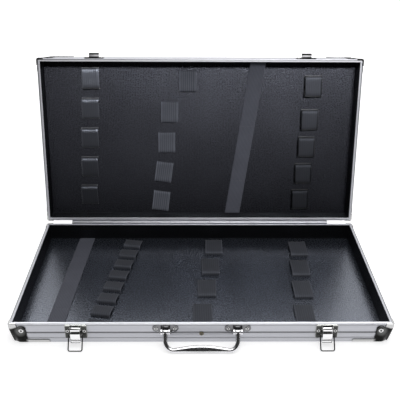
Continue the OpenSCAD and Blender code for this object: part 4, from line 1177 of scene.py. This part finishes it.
plates = inMetres(
    thickness=1, edge=0.25, corner=1.6, lobe=4.6, lobeDrop=0.6, waist=7.65, inner=1.5, foot=1.2,
    lug=2, lugRadius=3.1, lugIn=3.65, ear=0.8, earRadius=2.1, earIn=6.15,
    neck=0.9, keeperCorner=2.2, keeperHeight=11, hookWidth=14, hookSheet=0.9, hookBend=0.9, hookCorner=0.3,
    hookRoot=0.3, hookFrom=1.5,     # out from the case: where the strip starts, and what is strip alone
    flangeMark=1.5,     # puts the whole of a keeper's flange in the keeper paint's painted shade
    earMark=40)         # puts the lugs and ears in their plate paints' painted highlight


def earShells(x, joint, kind):
    # Two upright lugs round a pin: each a half circle in front and straight edges back to the plate
    thickness, radius, inside = plates[kind], plates[kind + "Radius"], plates[kind + "In"]
    pivot = pivotOf(joint)
    reach = case["front"] - plates["thickness"] / 2 - pivot[1]
    outline = np.concatenate([arc(0, 0, radius, 90, 270, 14), [[reach, -radius], [reach, radius]]])
    ears = [stamped(outline, np.array([x + edge * (inside + thickness / 2), *pivot[1:]]), back, up, thickness)
            for edge in (-1, 1)]
    # Each ear's uv puts it in its plate paint's painted highlight
    for ear in ears:
        ear["uv"] = ear["uv"] * 0 + [plates["earMark"], 0]
    return ears


def bracketShells(side):
    low, high = corners("handle_bracket_" + side)
    middle, r, w = (low[0] + high[0]) / 2, plates["lobe"], plates["waist"]
    inner, foot = plates["inner"], plates["foot"]
    lobeX, lobeZ = (high[0] - low[0]) / 2 - r, high[2] - r - plates["lobeDrop"]
    half = np.concatenate([[[lobeX, high[2]]], arc(lobeX, lobeZ, r, 82, -98, 20),
                           arc(w + inner, lobeZ - r - plates["neck"], inner, 80, 180, 5),
                           arc(w - foot, low[2] + foot, foot, 0, -90, 4)])
    place = np.array([middle, case["front"] - plates["thickness"] / 2, lobeZ])
    face = stamped(mirrored(half) - [0, lobeZ], place, right, up, plates["thickness"])
    return [face] + earShells(middle, "handle_swing", "lug")


def latchPlateShells(side):
    low, high = corners("latch_plate_" + side)
    middle = (low + high) / 2
    place = np.array([middle[0], case["front"] - plates["thickness"] / 2, middle[2]])
    face = stamped(roundedBox(high[0] - low[0], high[2] - low[2], plates["corner"]), place, right, up,
                   plates["thickness"])
    return [face] + earShells(middle[0], "lever_" + side + "_lift", "ear")


def keeperShells(side):
    # A riveted flange and a strip that is bent twice: out from the flange, then towards the rim
    points = halfPoints("keeper_" + side)
    low, high = points.min(0), points.max(0)
    middle = (low[0] + high[0]) / 2
    outline = roundedBox(high[0] - low[0], plates["keeperHeight"], plates["keeperCorner"])
    place = np.array([middle, case["front"] - plates["thickness"] / 2, high[2] - plates["keeperHeight"] / 2])
    flange = stamped(outline, place, right, up, plates["thickness"])
    # The flange's uv puts it all in the keeper's painted shade
    flange["uv"] = flange["uv"] * 0 + [0, plates["flangeMark"]]
    sheet, bend = plates["hookSheet"] / 2, plates["hookBend"]
    hook = points[points[:, 1] < case["front"] - plates["hookFrom"]]
    shelfTop, lipLow = hook[:, 2].max(), hook[:, 2].min()
    turn = arc(low[1] + sheet + bend, shelfTop - sheet - bend, bend, 90, 180, 6)
    line = evenly(np.concatenate([[[case["front"] - plates["hookRoot"], shelfTop - sheet]], turn,
                                  [[low[1] + sheet, lipLow]]]), 24)
    path = np.stack([0 * line[:, 0] + middle, line[:, 0], line[:, 1]], 1)
    section = roundedBox(plates["hookWidth"], plates["hookSheet"], plates["hookCorner"], 4)
    return [flange, sweep(path, section, right)]


for side in sides:
    for name, shells, paint, body, node in (
            ("handleBracket", bracketShells(side), "bracket", "base", "handle_bracket_"),
            ("latchPlate", latchPlateShells(side), "basePlate", "base", "latch_plate_"),
            ("keeper", keeperShells(side), "keeper", "lid", "keeper_")):
        makePiece(name + side.capitalize(), shells, paint, body, "latch_and_handle", node + side,
                  plates["edge"])
print("plates made")


# Rivets, pins and the eyelet

rivets = inMetres(small=2.2, corner=3, eyelet=2.7, apart=8, under=0.2, boreBottom=0.1, pinRadius=1.25,
                  pinProud=0.3) | {"bore": 0.36}     # bore: its share of the head's radius


def rivetProfile(radius, height):
    # A tubular rivet's rolled head: a round rim, and a bore in its middle
    roll, bore, under = radius * (1 - rivets["bore"]) / 2, radius * rivets["bore"], -rivets["under"]
    ring = arc(0, 0, 1, 0, 180, 11) * [roll, height * 0.6] + [radius - roll, height * 0.4]
    bottom = -rivets["boreBottom"]
    return np.concatenate([[[0, under], [radius, under]], ring, [[bore, bottom], [0, bottom]]])


def headsPiece(name, node, radius, paint):
    # The node's points are sorted into heads; each head's thin side gives its axis, turned away from the case
    half, left, shells = bodyOf[node], halfPoints(node), []
    while len(left):
        near = np.linalg.norm(left - left[0], axis=1) < rivets["apart"]
        low, high = left[near].min(0), left[near].max(0)
        left = left[~near]
        thin = int(np.argmin(high - low))
        axis = np.eye(3)[thin] * np.sign(low[thin] + high[thin])
        foot = (low + high) / 2 - axis * (high[thin] - low[thin]) / 2
        shells.append(spun(rivetProfile(radius, high[thin] - low[thin]), foot, axis, 32))
    makePiece(name, shells, paint, half, "eyelet" if name == "frontEyelet" else "rivets_and_pins", node)


def pinsPiece(name, places, halfLength, node):
    # Pins along x with domed ends, one at each place
    radius = rivets["pinRadius"]
    dome = arc(0, 0, 1, 0, 90, 6) * [radius, rivets["pinProud"]] + [0, halfLength]
    profile = np.concatenate([(dome * [1, -1])[::-1], [[radius, 0]], dome])
    pins = [spun(profile, place, right, 20) for place in places]
    makePiece(name, pins, "nickel", "base", "rivets_and_pins", node)


for name, node, radius, paint in (
        ("cornerRivetsBase", "base_corner_rivets", "corner", "rivet"),
        ("cornerRivetsLid", "lid_corner_rivets", "corner", "rivet"),
        ("latchPlateRivets", "latch_plate_rivets", "small", "dullRivet"),
        ("bracketRivets", "bracket_rivets", "small", "dullRivet"),
        ("keeperRivets", "keeper_rivets", "small", "rivet"),
        ("hingeRivetsBase", "hinge_rivets_base", "small", "rivet"),
        ("hingeRivetsLid", "hinge_rivets_lid", "small", "rivet"),
        ("frontEyelet", "front_eyelet", "eyelet", "brass")):
    headsPiece(name, node, rivets[radius], paint)
pinsPiece("leverPins", [pivotOf("lever_" + side + "_lift") for side in sides],
          plates["earIn"] + plates["ear"], "lever_pins")
bracketMiddles = [np.mean([end[0] for end in corners("handle_bracket_" + side)]) for side in sides]
pinsPiece("handlePins", [np.array([x, *pivotOf("handle_swing")[1:]]) for x in bracketMiddles],
          corners("handle_pins")[1][0] - bracketMiddles[1], "handle_pins")
print("rivets and pins made")
